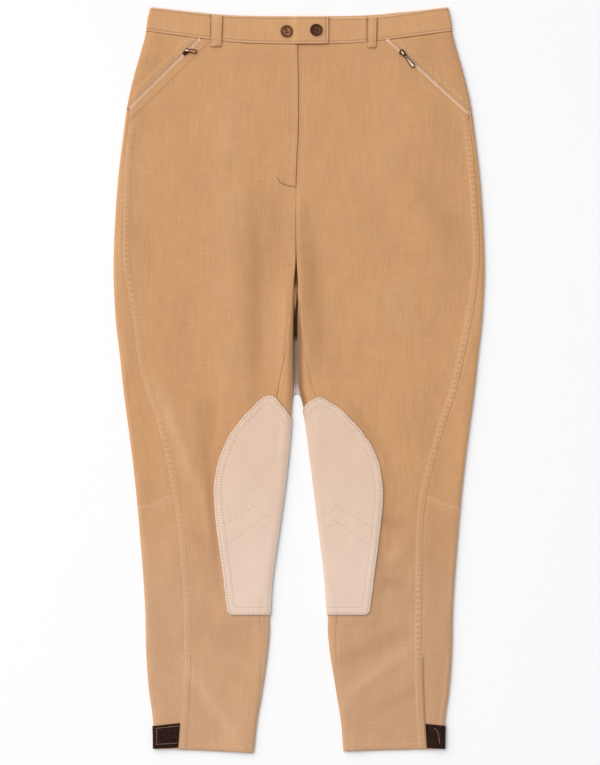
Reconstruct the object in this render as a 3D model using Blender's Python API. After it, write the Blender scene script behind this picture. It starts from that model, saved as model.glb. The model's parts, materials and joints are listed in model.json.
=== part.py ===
"""Riding breeches laid flat on their back, with the front up.

Tables and sizes are in millimetres and become metres as each mesh is made.
+X is the wearer's left, +Y runs up to the waist, and +Z up from the surface they lie on.
The origin lies on that surface, under the middle of the garment.
On either side, reach is the distance outward from the plane X = 0.
"""

from collections import namedtuple
import math

import bmesh
import bpy
from mathutils import Matrix, Vector
import numpy as np

MM = 0.001
RIGHT, LEFT = -1, 1
SIDE_NAMES = {RIGHT: "right", LEFT: "left"}

# ---------------------------------------------------------------- driving dimensions

CLOTH = 1.2
SEAM_GAP = 0.3
PANEL_GAP = 0.4
FOLD_RADIUS = 2.6
MID_HEIGHT = 3.9
MOST_HEIGHT = 6.2
PATCH_RISE = 1.1
FOLD_EASE = 30.0

WAIST_SEAM_Y = 435.5
WAIST_TOP_Y = 472.6
HEM_Y = {RIGHT: -484.6, LEFT: -482.4}
HEM_RISE = {RIGHT: 6.2, LEFT: 3.6}
FORK_Y = 98.8
FORK_END_Y = 55.9
FLY_EDGE = 6.0
FLY_EDGE_RISE = 0.6
FLY_WIDTH = 22.0
FLY_RISE = 0.3
FLY_BOTTOM_Y = 252.0
SEAM_LAP_WIDTH = 9.0
SEAM_LAP = 0.45
SLIT_LAP = 0.7

BAND_WALL = 2.0
BAND_HEIGHT = 5.2
BAND_GAP_FRONT = 0.8
BAND_GAP_BACK = 1.2
TAB_HEIGHT = 7.5
TAB_END_X = 38.4

# The waist seam and the top of the band run level in the middle and rise toward both sides.
Arch = namedtuple("Arch", "slope start bend")
SEAM_ARCH = Arch(0.069, 75.0, 30.0)
TOP_ARCH = Arch(0.055, 90.0, 30.0)

PATCH_WALL = 1.2
PATCH_CLEARANCE = 0.5
PATCH_LIFT = PATCH_WALL + PATCH_CLEARANCE

# Half widths of the laid garment: the outer fold, half the gap between the legs, and where the middle of
# that gap lies. Above the fork the gap is that of the groove over the crotch.
Outline = namedtuple("Outline", "y outer gap centre")
OUTLINE = (
    Outline(485.0, 193.2, 3.2, -2.4),
    Outline(468.0, 197.0, 3.2, -2.4),
    Outline(447.0, 199.8, 3.2, -2.4),
    Outline(426.5, 205.4, 3.2, -2.4),
    Outline(396.5, 213.9, 3.2, -2.2),
    Outline(357.5, 222.8, 3.2, -2.0),
    Outline(318.5, 228.2, 3.2, -1.9),
    Outline(260.0, 235.2, 3.2, -2.6),
    Outline(201.5, 239.2, 3.2, -3.3),
    Outline(143.0, 241.0, 3.2, -3.6),
    Outline(106.5, 239.8, 3.2, -3.9),
    Outline(80.5, 238.3, 2.5, -4.4),
    Outline(26.0, 232.1, 2.9, -4.6),
    Outline(0.0, 229.5, 3.1, -4.3),
    Outline(-19.5, 227.2, 4.1, -3.2),
    Outline(-52.0, 223.0, 8.0, -1.0),
    Outline(-91.0, 217.8, 12.2, 0.1),
    Outline(-149.5, 211.2, 19.1, 0.5),
    Outline(-208.0, 206.1, 26.7, 0.0),
    Outline(-266.5, 201.6, 34.0, -0.6),
    Outline(-305.5, 199.6, 36.3, -0.5),
    Outline(-344.5, 198.9, 39.4, -0.4),
    Outline(-403.0, 195.0, 47.8, 0.2),
    Outline(-442.0, 189.8, 54.3, 0.0),
    Outline(-485.0, 188.4, 58.4, -0.6),
)

# Reach of the side seam, which lies on the front face of each leg.
SideSeam = namedtuple("SideSeam", "y right left")
SIDE_SEAM = (
    SideSeam(338.0, 221.0, 221.0),
    SideSeam(306.5, 224.9, 225.6),
    SideSeam(230.0, 228.5, 232.5),
    SideSeam(164.0, 229.4, 235.6),
    SideSeam(126.0, 224.9, 232.6),
    SideSeam(71.5, 215.4, 223.6),
    SideSeam(28.5, 209.8, 214.8),
    SideSeam(-11.5, 200.2, 205.6),
    SideSeam(-45.5, 188.5, 194.4),
    SideSeam(-91.0, 176.4, 180.7),
    SideSeam(-136.5, 167.0, 169.4),
    SideSeam(-170.5, 161.2, 163.4),
    SideSeam(-214.5, 156.6, 161.6),
    SideSeam(-264.0, 152.2, 160.8),
    SideSeam(-359.0, 150.0, 160.2),
    SideSeam(-431.5, 152.8, 162.2),
    SideSeam(-485.0, 156.6, 165.6),
)
SLIT_TOP_Y = -359.0

# How far the inseam lies from the inner fold on the front face.
Inseam = namedtuple("Inseam", "y inset")
INSEAM = (
    Inseam(107.0, 1.8),
    Inseam(98.8, 2.2),
    Inseam(39.0, 8.6),
    Inseam(13.0, 15.0),
    Inseam(-15.5, 20.0),
    Inseam(-91.0, 24.0),
    Inseam(-234.0, 18.0),
    Inseam(-307.0, 12.2),
    Inseam(-344.5, 9.4),
    Inseam(-403.0, 2.6),
    Inseam(-442.0, 1.3),
    Inseam(-485.0, 0.9),
)

# Soft ridges (height above 0) and troughs of the front layer, as straight creases with soft ends.
Crease = namedtuple("Crease", "side reach y end_reach end_y width height")
CREASES = (
    Crease(RIGHT, 55.0, 300.0, 60.0, 45.0, 13.0, -0.7),
    Crease(RIGHT, 17.0, 235.0, 20.0, -10.0, 9.0, 0.8),
    Crease(RIGHT, 152.0, 130.0, 158.0, 5.0, 16.0, -0.6),
    Crease(RIGHT, 168.0, -30.0, 130.0, -155.0, 11.0, 1.8),
    Crease(RIGHT, 124.0, -70.0, 112.0, -150.0, 9.0, -0.6),
    Crease(RIGHT, 140.0, -318.0, 60.0, -362.0, 15.0, -0.6),
    Crease(RIGHT, 146.0, -376.0, 92.0, -438.0, 10.0, 1.7),
    Crease(RIGHT, 205.0, 150.0, 196.0, 40.0, 12.0, 0.7),
    Crease(LEFT, 14.0, 215.0, 34.0, 45.0, 11.0, -0.6),
    Crease(LEFT, 16.0, 150.0, 16.0, 10.0, 8.0, 0.7),
    Crease(LEFT, 118.0, -176.0, 106.0, -202.0, 10.0, -0.7),
    Crease(LEFT, 148.0, -206.0, 122.0, -236.0, 10.0, 1.3),
    Crease(LEFT, 150.0, -248.0, 132.0, -276.0, 10.0, -0.6),
    Crease(LEFT, 66.0, -398.0, 151.0, -326.0, 10.0, 1.6),
    Crease(LEFT, 66.0, -420.0, 151.0, -372.0, 9.0, -0.7),
    Crease(LEFT, 214.0, 175.0, 222.0, 120.0, 8.0, 0.9),
)

# Slanted pocket zips: the line of the teeth from the waist seam to its lower end at the outer fold.
Zip = namedtuple("Zip", "top_reach top_y end_reach end_y slider_share tab_angle tab_length")
ZIPS = {
    RIGHT: Zip(130.5, 442.0, 224.0, 350.0, 0.155, 0.0, 14.5),
    LEFT: Zip(116.5, 441.0, 224.0, 343.0, 0.170, -52.0, 18.5),
}
ZIP_TAPE_WIDTH = 4.6
ZIP_TAPE_WALL = 1.0
ZIP_WELT_WIDTH = 9.0
ZIP_WELT_RISE = 0.5

# Top edge of a knee patch, by the share of its width out from the inner fold, and its width below that.
PatchTop = namedtuple("PatchTop", "share right_y left_y")
PATCH_TOP = (
    PatchTop(0.00, -55.0, -43.0),
    PatchTop(0.15, -42.0, -31.0),
    PatchTop(0.30, -25.0, -22.0),
    PatchTop(0.43, -18.0, -23.0),
    PatchTop(0.57, -25.5, -31.0),
    PatchTop(0.74, -43.0, -47.0),
    PatchTop(0.88, -57.0, -62.0),
    PatchTop(1.00, -76.0, -80.0),
)
PatchWidth = namedtuple("PatchWidth", "y width")
PATCH_WIDTH = (
    PatchWidth(-75.4, 83.2),
    PatchWidth(-95.0, 90.4),
    PatchWidth(-117.0, 93.8),
    PatchWidth(-136.5, 94.4),
    PatchWidth(-157.0, 91.2),
    PatchWidth(-187.0, 83.4),
    PatchWidth(-217.0, 75.8),
    PatchWidth(-258.5, 65.8),
    PatchWidth(-296.5, 58.0),
    PatchWidth(-305.5, 56.0),
)
PATCH_BOTTOM_Y = -305.5
PATCH_CORNER = 4.0

# Line of the diagonal seam between back leg and calf piece, by station round the leg (see skin).
CalfSeam = namedtuple("CalfSeam", "station y")
CALF_SEAM = (
    CalfSeam(-1.20, -173.0),
    CalfSeam(-0.50, -175.0),
    CalfSeam(0.00, -176.0),
    CalfSeam(0.50, -187.0),
    CalfSeam(1.00, -171.0),
    CalfSeam(1.50, -170.0),
    CalfSeam(2.00, -169.0),
    CalfSeam(2.27, -151.8),
)
CALF_SEAM_Y = -170.0

HEM_TAB_HEIGHT = 31.0
HEM_TAB_WALL = 1.5

BELT_LOOP_WIDTH = 13.0
BELT_LOOP_WALL = 1.4
BELT_LOOP_ARCH = 0.9
FRONT_LOOP_REACH = {RIGHT: 107.0, LEFT: 95.0}
FRONT_LOOP_Y = {RIGHT: (432.5, 473.2), LEFT: (431.0, 471.0)}
BACK_LOOPS_X = {"right": -128.0, "centre": -2.4, "left": 124.0}

BUTTON_RADIUS = 7.9
BUTTON_WALL = 2.6
BUTTONS = {"button_band": (-16.2, 452.9, BAND_HEIGHT), "button_tab": (22.2, 454.4, TAB_HEIGHT)}
BUTTON_HOLE_RADIUS = 0.8
BUTTON_HOLE_SPREAD = 1.7

CLOTH_TAN = (0.60, 0.33, 0.16)
BAND_TAN = (0.63, 0.35, 0.17)
SUEDE_CREAM = (0.78, 0.56, 0.47)
TAPE_CREAM = (0.72, 0.55, 0.42)
BRASS_BROWN = (0.30, 0.17, 0.08)
HORN_BROWN = (0.10, 0.04, 0.02)
TAB_BROWN = (0.03, 0.015, 0.012)

# ---------------------------------------------------------------- curves through the tables


def soft_step(share):
    share = np.clip(share, 0.0, 1.0)
    return share * share * (3.0 - 2.0 * share)


def between(value, start, end):
    """0 at start, 1 at end, with soft ends; start may be the greater."""
    return soft_step((value - start) / (end - start))


def lerp(start, end, share):
    return start + (end - start) * share


def curve(table, place, value):
    """A smooth function through two named columns of a table, level beyond both ends.

    Its slopes are held back beside a flat stretch, so it never swings past the table's own values.
    """
    rows = sorted((getattr(row, place), getattr(row, value)) for row in table)
    places, values = np.array(rows).T
    steps = np.diff(values) / np.diff(places)
    before = np.hstack((steps[:1], steps))
    after = np.hstack((steps, steps[-1:]))
    most = np.where(before * after > 0.0, 2.5 * np.minimum(np.abs(before), np.abs(after)), 0.0)
    slopes = np.clip(np.gradient(values, places), -most, most)

    def at(where):
        where = np.clip(where, places[0], places[-1])
        low = np.clip(np.searchsorted(places, where) - 1, 0, len(places) - 2)
        step = places[low + 1] - places[low]
        share = (where - places[low]) / step
        rest = 1.0 - share
        return (
            (1.0 + 2.0 * share) * rest**2 * values[low]
            + share * rest**2 * step * slopes[low]
            + (1.0 + 2.0 * rest) * share**2 * values[low + 1]
            - rest * share**2 * step * slopes[low + 1]
        )

    return at


outer_fold = curve(OUTLINE, "y", "outer")
leg_gap = curve(OUTLINE, "y", "gap")
centre_x = curve(OUTLINE, "y", "centre")
inseam_inset = curve(INSEAM, "y", "inset")
patch_width = curve(PATCH_WIDTH, "y", "width")
side_seam = {RIGHT: curve(SIDE_SEAM, "y", "right"), LEFT: curve(SIDE_SEAM, "y", "left")}
patch_top = {RIGHT: curve(PATCH_TOP, "share", "right_y"), LEFT: curve(PATCH_TOP, "share", "left_y")}
calf_seam = curve(CALF_SEAM, "station", "y")

# ---------------------------------------------------------------- form of the laid garment


def across_centre(side, y):
    """Reach of the centre line between the legs."""
    return side * centre_x(y)


def inner_fold(side, y):
    """Reach, radius and floor of the inner fold of the cloth, drawn in under the knee patch."""
    under_patch = between(y, -10.0, -34.0) * between(y, -327.0, -309.0)
    reach = across_centre(side, y) + leg_gap(y) + PATCH_LIFT * under_patch
    return reach, FOLD_RADIUS - 0.8 * under_patch, PATCH_LIFT * under_patch


def under_patch_share(side, reach, y):
    """1 where a knee patch lies over or under the cloth, falling softly to 0 around it."""
    inset = reach - across_centre(side, y) - leg_gap(y)
    inside = between(patch_width(y) + 18.0 - inset, 0.0, 12.0)
    return inside * between(y, 4.0, -14.0) * between(y, -327.0, -311.0)


def floor_height(side, reach, y):
    """Height of the outer face of the back layer."""
    inset = reach - across_centre(side, y) - leg_gap(y)
    lift = PATCH_LIFT + 0.2 * between(inset, 3.0, 12.0)
    return lift * under_patch_share(side, reach, y)


def crease_height(side, reach, y):
    """All the soft ridges and troughs of one side together."""
    total = np.zeros(np.broadcast(reach, y).shape)
    for crease in CREASES:
        if crease.side != side:
            continue
        run = np.array((crease.end_reach - crease.reach, crease.end_y - crease.y))
        length = math.hypot(*run)
        run /= length
        along = (reach - crease.reach) * run[0] + (y - crease.y) * run[1]
        off = (reach - crease.reach) * run[1] - (y - crease.y) * run[0]
        fade = between(along, -0.25 * length, 0.3 * length) * between(along, 1.25 * length, 0.7 * length)
        total += crease.height * np.exp(-((off / crease.width) ** 2)) * fade
    return total


def zip_offset(side, reach, y):
    """Distance from the line of the pocket zip, and the share of the way down it."""
    zip_line = ZIPS[side]
    run = np.array((zip_line.end_reach - zip_line.top_reach, zip_line.end_y - zip_line.top_y))
    length = math.hypot(*run)
    run /= length
    along = (reach - zip_line.top_reach) * run[0] + (y - zip_line.top_y) * run[1]
    off = (reach - zip_line.top_reach) * run[1] - (y - zip_line.top_y) * run[0]
    return off, along / length


def zip_reach(side, y):
    """Reach of the zip line at this height."""
    zip_line = ZIPS[side]
    share = (zip_line.top_y - y) / (zip_line.top_y - zip_line.end_y)
    return lerp(zip_line.top_reach, zip_line.end_reach, share)


def sewn_height(side, reach, y):
    """Rise of the lapped seams, the fly, the pocket welts and the cloth taken into the waistband."""
    inside_seam = side_seam[side](y) - reach
    lap = np.where(y < SLIT_TOP_Y, SLIT_LAP, SEAM_LAP) * between(y, 325.0, 300.0)
    on_lap = between(inside_seam, SEAM_LAP_WIDTH + 1.5, SEAM_LAP_WIDTH - 1.0)
    rise = np.where(inside_seam > -0.01, lap * on_lap, 0.0)
    off, share = zip_offset(side, reach, y)
    welt = between(np.abs(off), ZIP_WELT_WIDTH + 2.0, ZIP_WELT_WIDTH - 1.0) * between(share, 1.05, 0.9)
    rise = np.maximum(rise, ZIP_WELT_RISE * welt)
    rise += 0.8 * between(y, 405.0, 428.0)
    if side == RIGHT:
        from_centre = reach - across_centre(side, y)
        edge = between(from_centre, FLY_EDGE + 2.0, FLY_EDGE - 2.0)
        rise += FLY_EDGE_RISE * edge * between(y, FLY_BOTTOM_Y - 12.0, FLY_BOTTOM_Y + 10.0)
        flap = between(from_centre, FLY_WIDTH + 2.0, FLY_WIDTH - 2.0)
        rise += FLY_RISE * flap * between(y, FLY_BOTTOM_Y, FLY_BOTTOM_Y + 23.0)
    return rise


def face_height(side, reach, y):
    """Height of the outer face of the front layer, folds included."""
    fold_reach, fold_radius, fold_floor = inner_fold(side, y)
    from_outer = outer_fold(y) - reach
    from_inner = reach - fold_reach
    patch = under_patch_share(side, reach, y)
    leg = between(y, 210.0, FORK_Y)
    middle = MID_HEIGHT + PATCH_RISE * patch
    at_outer = 1.0 - between(from_outer, FOLD_RADIUS, FOLD_RADIUS + FOLD_EASE)
    at_inner = leg * (1.0 - between(from_inner, fold_radius, fold_radius + FOLD_EASE))
    lift = (2.0 * FOLD_RADIUS - middle) * at_outer + (fold_floor + 2.0 * fold_radius - middle) * at_inner
    clear = between(from_outer, FOLD_RADIUS, FOLD_RADIUS + 6.0)
    clear *= 1.0 - leg * (1.0 - between(from_inner, fold_radius, fold_radius + 6.0))
    height = middle + lift + clear * (crease_height(side, reach, y) + sewn_height(side, reach, y))
    height = np.minimum(height, MOST_HEIGHT)

    from_centre = reach - across_centre(side, y)
    groove = between(y, 156.0, 116.0)
    groove_half = lerp(2.5, 6.0, groove)
    height -= np.where(y > FORK_Y, 2.3 * groove * between(from_centre, groove_half, 0.0), 0.0)

    rounded = FOLD_RADIUS + np.sqrt(np.maximum(FOLD_RADIUS**2 - (FOLD_RADIUS - from_outer) ** 2, 0.0))
    height = np.where(from_outer < FOLD_RADIUS, rounded, height)
    rounded = fold_radius + np.sqrt(np.maximum(fold_radius**2 - (fold_radius - from_inner) ** 2, 0.0))
    return np.where((from_inner < fold_radius) & (y < FORK_Y), fold_floor + rounded, height)


def face(side, reach, y, depth):
    """Reach and height of a point sunk by depth below the outer face of the front layer."""
    step = 0.05
    slope = (face_height(side, reach + step, y) - face_height(side, reach - step, y)) / (2.0 * step)
    tilt = np.sqrt(1.0 + slope**2)
    return reach + depth * slope / tilt, face_height(side, reach, y) - depth / tilt


def station_at(side, reach, y):
    """Station of a place on the front face: 2 by the outer fold, 3 by the inner one."""
    fold_reach, fold_radius, _ = inner_fold(side, y)
    start = outer_fold(y) - FOLD_RADIUS
    return 2.0 + (start - reach) / (start - fold_reach - fold_radius)


def skin(side, y, station, depth):
    """Reach and height of a point on one leg's section, sunk by depth below its outer face.

    Stations run 0 to 1 outward under the leg, 1 to 2 round the outer fold, 2 to 3 back over the front
    face and 3 to 4 round the inner fold. They repeat after 4, so -1 to 0 is the inner fold too.
    """
    fold_reach, fold_radius, fold_floor = inner_fold(side, y)
    out = outer_fold(y) - FOLD_RADIUS
    inn = fold_reach + fold_radius
    turn = np.mod(station, 4.0)
    share = np.mod(turn, 1.0)
    angle = math.pi * (share - 0.5)
    under = lerp(inn, out, share)
    over = lerp(out, inn, share)
    face_reach, face_z = face(side, over, y, depth)
    quarter = np.floor(turn).astype(int)
    reach = np.choose(
        quarter,
        (
            under,
            out + (FOLD_RADIUS - depth) * np.cos(angle),
            face_reach,
            inn - (fold_radius - depth) * np.cos(angle),
        ),
    )
    height = np.choose(
        quarter,
        (
            floor_height(side, under, y) + depth,
            FOLD_RADIUS + (FOLD_RADIUS - depth) * np.sin(angle),
            face_z,
            fold_floor + fold_radius - (fold_radius - depth) * np.sin(angle),
        ),
    )
    return reach, height


def arch_rise(arch, reach):
    past = np.abs(reach) - arch.start
    return arch.slope * (past + np.sqrt(past**2 + arch.bend**2))


def settle(side, reach, y):
    """Moves a level row to the arched waist seam and the slanting hem."""
    waist = arch_rise(SEAM_ARCH, reach) * between(y, 270.0, WAIST_SEAM_Y)
    hem = HEM_RISE[side] * (reach - 60.0) / 130.0 * between(y, -400.0, -480.0)
    return y + waist + hem


# ---------------------------------------------------------------- meshes


def clear_scene():
    for old in list(bpy.data.objects):
        bpy.data.objects.remove(old, do_unlink=True)


def material(name, colour, roughness, metallic=0.0):
    made = bpy.data.materials.get(name) or bpy.data.materials.new(name)
    made.use_nodes = True
    shader = made.node_tree.nodes["Principled BSDF"]
    shader.inputs["Base Color"].default_value = (*colour, 1.0)
    shader.inputs["Roughness"].default_value = roughness
    shader.inputs["Metallic"].default_value = metallic
    return made


def add_object(name, mesh_maker, finish):
    """One object from a bmesh in metres, with its faces turned outward and shaded smooth."""
    bmesh.ops.recalc_face_normals(mesh_maker, faces=mesh_maker.faces)
    mesh = bpy.data.meshes.new(name)
    mesh_maker.to_mesh(mesh)
    mesh_maker.free()
    mesh.shade_smooth()
    mesh.set_sharp_from_angle(angle=math.radians(40.0))
    mesh.materials.append(finish)
    made = bpy.data.objects.new(name, mesh)
    bpy.context.collection.objects.link(made)
    return made


def wall(name, side, outer, inner, finish):
    """A closed wall between two grids of (reach, y, height) points, rows by columns."""
    shaped = bmesh.new()
    grids = []
    for points in (outer, inner):
        reach, y, height = np.broadcast_arrays(*points)
        grids.append(
            [
                [shaped.verts.new((side * a * MM, b * MM, c * MM)) for a, b, c in zip(*row)]
                for row in zip(reach, y, height)
            ]
        )
    for grid in grids:
        for row, following in zip(grid, grid[1:]):
            for corner in range(len(row) - 1):
                shaped.faces.new((row[corner], row[corner + 1], following[corner + 1], following[corner]))
    rims = []
    for grid in grids:
        right_rim = [row[-1] for row in grid]
        left_rim = [row[0] for row in grid]
        rims.append(grid[0][:-1] + right_rim[:-1] + grid[-1][:0:-1] + left_rim[:0:-1])
    for corner in range(len(rims[0])):
        shaped.faces.new((rims[0][corner - 1], rims[0][corner], rims[1][corner], rims[1][corner - 1]))
    return add_object(name, shaped, finish)


def spread(count, start, end):
    """Evenly spaced shares as a row of columns, between two columns of values."""
    shares = np.linspace(0.0, 1.0, count)[None, :]
    return lerp(np.asarray(start)[:, None], np.asarray(end)[:, None], shares)


# ---------------------------------------------------------------- panels

BODY_ROWS = (
    *np.linspace(WAIST_SEAM_Y, 350.0, 6),
    334.0, 308.0, 278.0, 248.0, 215.0, 184.0, 160.0, 140.0, 126.0,
    *np.linspace(118.0, FORK_Y + 0.5, 5),
    FORK_Y - 0.5, 86.0, FORK_END_Y, 49.0, 30.0,
)
LEG_ROWS = (4.0, -14.0, -26.0, -45.0, -66.0, -90.0, -115.0, -140.0)
CALF_ROWS = (
    *np.linspace(CALF_SEAM_Y - PANEL_GAP, -287.0, 5),
    -310.0, -328.0, -343.0, SLIT_TOP_Y + 1.0, SLIT_TOP_Y - 1.0, -382.0, -406.0, -432.0, -460.0,
)


def front_inner_edge(side, y):
    """The centre front, then down the leg the inseam on the front face."""
    past_fork = between(y, 119.0, 104.0)
    centre = across_centre(side, y) + 0.5 * PANEL_GAP
    inseam = across_centre(side, y) + leg_gap(y) + inseam_inset(y) + 0.5 * PANEL_GAP
    inseam += inner_fold(side, y)[2]
    return lerp(centre, inseam, past_fork)


def front_outer_edge(side, y):
    """The pocket zip, then down the leg the side seam."""
    by_zip = zip_reach(side, y) - (0.5 * ZIP_TAPE_WIDTH + SEAM_GAP) * math.sqrt(2.0)
    return np.minimum(by_zip, side_seam[side](y) - 0.5 * PANEL_GAP)


def front_panel(side, cloth):
    rows = np.array((*BODY_ROWS, *LEG_ROWS, *CALF_ROWS, HEM_Y[side]))
    columns_in = np.array((0.0, 1.3, 3.2, 6.0))
    columns_out = np.array((10.5, 8.0, 0.0))
    y = np.repeat(rows[:, None], len(columns_in) + len(columns_out) + 6, axis=1)
    for _ in range(2):
        start = front_inner_edge(side, y[:, :1])
        end = front_outer_edge(side, y[:, -1:])
        middle = spread(8, (start + 6.0)[:, 0], (end - 10.5)[:, 0])[:, 1:-1]
        reach = np.hstack((start + columns_in, middle, end - columns_out))
        y = settle(side, reach, np.broadcast_to(rows[:, None], reach.shape))
    under_reach, under_z = face(side, reach, y, CLOTH)
    outer = (reach, y, face_height(side, reach, y))
    return wall(f"front_{SIDE_NAMES[side]}", side, outer, (under_reach, y, under_z), cloth)


# Stations and angles of the columns that turn round the folds of the back layer.
INNER_ANGLES = np.radians((90.0, 50.0, 10.0, -32.0, -52.0, -72.0, -90.0))
OUTER_ANGLES = np.radians((-90.0, -45.0, 0.0, 45.0, 90.0))


def inner_stations(side, y):
    """Columns from the inseam down round the inner fold to the underside."""
    fold_reach, fold_radius, _ = inner_fold(side, y)
    inset = inseam_inset(y) - 0.5 * PANEL_GAP
    turned = np.arccos(np.clip(1.0 - inset / fold_radius, -1.0, 1.0))
    edge_angle = np.where(inset < fold_radius, turned, 0.5 * math.pi)
    on_face = station_at(side, fold_reach + inset, y) - 4.0
    edge = np.where(inset < fold_radius, -0.5 - edge_angle / math.pi, on_face)
    first = edge_angle - np.where(inset < fold_radius + 0.6, 0.12, 0.0)
    shares = (INNER_ANGLES + 0.5 * math.pi) / math.pi
    angles = -0.5 * math.pi + shares * (first + 0.5 * math.pi)
    return np.hstack((edge, -0.5 - angles / math.pi))


def under_stations(side, y):
    """Columns under the leg, close together where the knee patch draws the cloth up."""
    fold_reach, fold_radius, _ = inner_fold(side, y)
    run = outer_fold(y) - FOLD_RADIUS - fold_reach - fold_radius
    lifted = patch_width(y) - fold_radius
    places = (0.5 * lifted, lifted + 6.0, lifted + 18.0, lerp(lifted + 18.0, run, 0.5))
    return np.hstack([place / run for place in places])


def outer_stations(side, y):
    """Columns up round the outer fold to the side seam on the front face, or half way up beside the hip."""
    seam = side_seam[side](y) + 0.5 * PANEL_GAP
    low = between(y, 347.0, 337.0)
    edge = lerp(1.49, station_at(side, seam, y), low)
    last = np.minimum(2.0, edge - 0.08)
    shares = (OUTER_ANGLES + 0.5 * math.pi) / math.pi
    turned = 1.0 + shares * (last - 1.0)
    return np.hstack((turned, lerp(last, edge, 0.5), edge))


def back_grid(side, rows, seam_row):
    """Nominal rows and stations for a back panel; seam_row is the row that follows the calf seam."""
    y = rows[:, None]
    for _ in range(3):
        edge_y = y[:, :1]
        last_y = y[:, -1:]
        under = under_stations(side, rows[:, None])
        stations = np.hstack((inner_stations(side, edge_y), under, outer_stations(side, last_y)))
        near = between(np.abs(rows - rows[seam_row]), 95.0, 0.0)[:, None]
        skewed = rows[:, None] + near * (calf_seam(stations) - CALF_SEAM_Y)
        reach, _ = skin(side, skewed, stations, 0.0)
        y = settle(side, reach, skewed)
    return y, stations


# The inner end of the back layer over the fork: distance from the centre line and height, column by column.
Flat = namedtuple("Flat", "reach height")
FLAT_OUTER = Flat(
    np.array((3.6, 3.1, 2.5, 1.8, 1.0, 0.5 * SEAM_GAP, 0.5 * SEAM_GAP)),
    np.array((1.0, 1.0, 1.0, 1.0, 1.0, 1.0, 0.0)) * CLOTH,
)
FLAT_INNER = Flat(np.linspace(4.1, 5.3, 7), np.full(7, CLOTH))


def meet_at_centre(side, y, reach, height, flat, toe):
    """Lays the inner end of the back layer flat to the centre back seam above the fork.

    The toe columns, given with their heights, stay there down to the end of the fork.
    """
    count = len(flat.reach)
    centre = across_centre(side, y[:, :count])
    risen = between(y[:, :1], 118.0, 102.0)
    reach[:, :count] = lerp(centre + flat.reach, reach[:, :count], risen)
    height[:, :count] = lerp(flat.height, height[:, :count], risen)
    held = np.maximum(between(y[:, 0], FORK_END_Y - 7.0, FORK_END_Y), 1.0 - risen[:, 0])
    for column, up in toe:
        reach[:, column] = lerp(reach[:, column], centre[:, column] + 0.5 * SEAM_GAP, held)
        height[:, column] = lerp(height[:, column], up, held)


def back_panel(name, side, rows, seam_row, cloth):
    y, stations = back_grid(side, rows, seam_row)
    outer_reach, outer_z = skin(side, y, stations, 0.0)
    inner_reach, inner_z = skin(side, y, stations, CLOTH)
    if rows[0] > FORK_END_Y:
        toe = ((5, CLOTH), (6, 0.0))
        meet_at_centre(side, y, outer_reach, outer_z, FLAT_OUTER, toe)
        meet_at_centre(side, y, inner_reach, inner_z, FLAT_INNER, ())
    return wall(name, side, (outer_reach, y, outer_z), (inner_reach, y, inner_z), cloth)


def hip_panel(side, cloth):
    """The pocket side piece between the zip and the outer fold."""
    rows = np.linspace(WAIST_SEAM_Y, 357.0 if side == RIGHT else 351.0, 8)
    y = rows[:, None]
    for _ in range(3):
        zip_edge = zip_reach(side, y[:, -1:]) + (0.5 * ZIP_TAPE_WIDTH + SEAM_GAP) * math.sqrt(2.0)
        turn = np.broadcast_to(np.array((1.53, 1.65, 1.82, 2.0)), (len(rows), 4))
        end = station_at(side, zip_edge, y[:, -1:])
        flat = spread(5, np.full(len(rows), 2.0), end[:, 0])[:, 1:]
        stations = np.hstack((turn, flat))
        reach, _ = skin(side, rows[:, None], stations, 0.0)
        y = settle(side, reach, np.broadcast_to(rows[:, None], reach.shape))
    outer = skin(side, y, stations, 0.0)
    inner = skin(side, y, stations, CLOTH)
    return wall(
        f"hip_{SIDE_NAMES[side]}", side, (outer[0], y, outer[1]), (inner[0], y, inner[1]), cloth
    )


# ---------------------------------------------------------------- waistband

BAND_STEPS = np.array((0.0, 0.05, 0.95, 1.0))
BAND_CHAMFER = np.array((0.5, 0.0, 0.0, 0.5))


def band_edges(side, reach, on_front):
    """Lower and upper edge of the waistband; the left front one sits lower than the back."""
    gap = np.where(on_front, BAND_GAP_FRONT, BAND_GAP_BACK)
    lower = WAIST_SEAM_Y + gap + arch_rise(SEAM_ARCH, reach)
    upper = WAIST_TOP_Y + arch_rise(TOP_ARCH, reach)
    drop = 2.3 if side == LEFT else 0.5
    return lower, upper - np.where(on_front, drop * between(np.abs(reach), 190.0, 110.0), 0.0)


def band_floor(x):
    """The back of the waistband is drawn up over each back belt loop."""
    rise = np.zeros(np.shape(x))
    for loop_x in BACK_LOOPS_X.values():
        off = np.abs(x - loop_x)
        rise = np.maximum(rise, between(off, 0.5 * BELT_LOOP_WIDTH + 7.0, 0.5 * BELT_LOOP_WIDTH + 1.0))
    return (BELT_LOOP_WALL + SEAM_GAP) * rise


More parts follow.
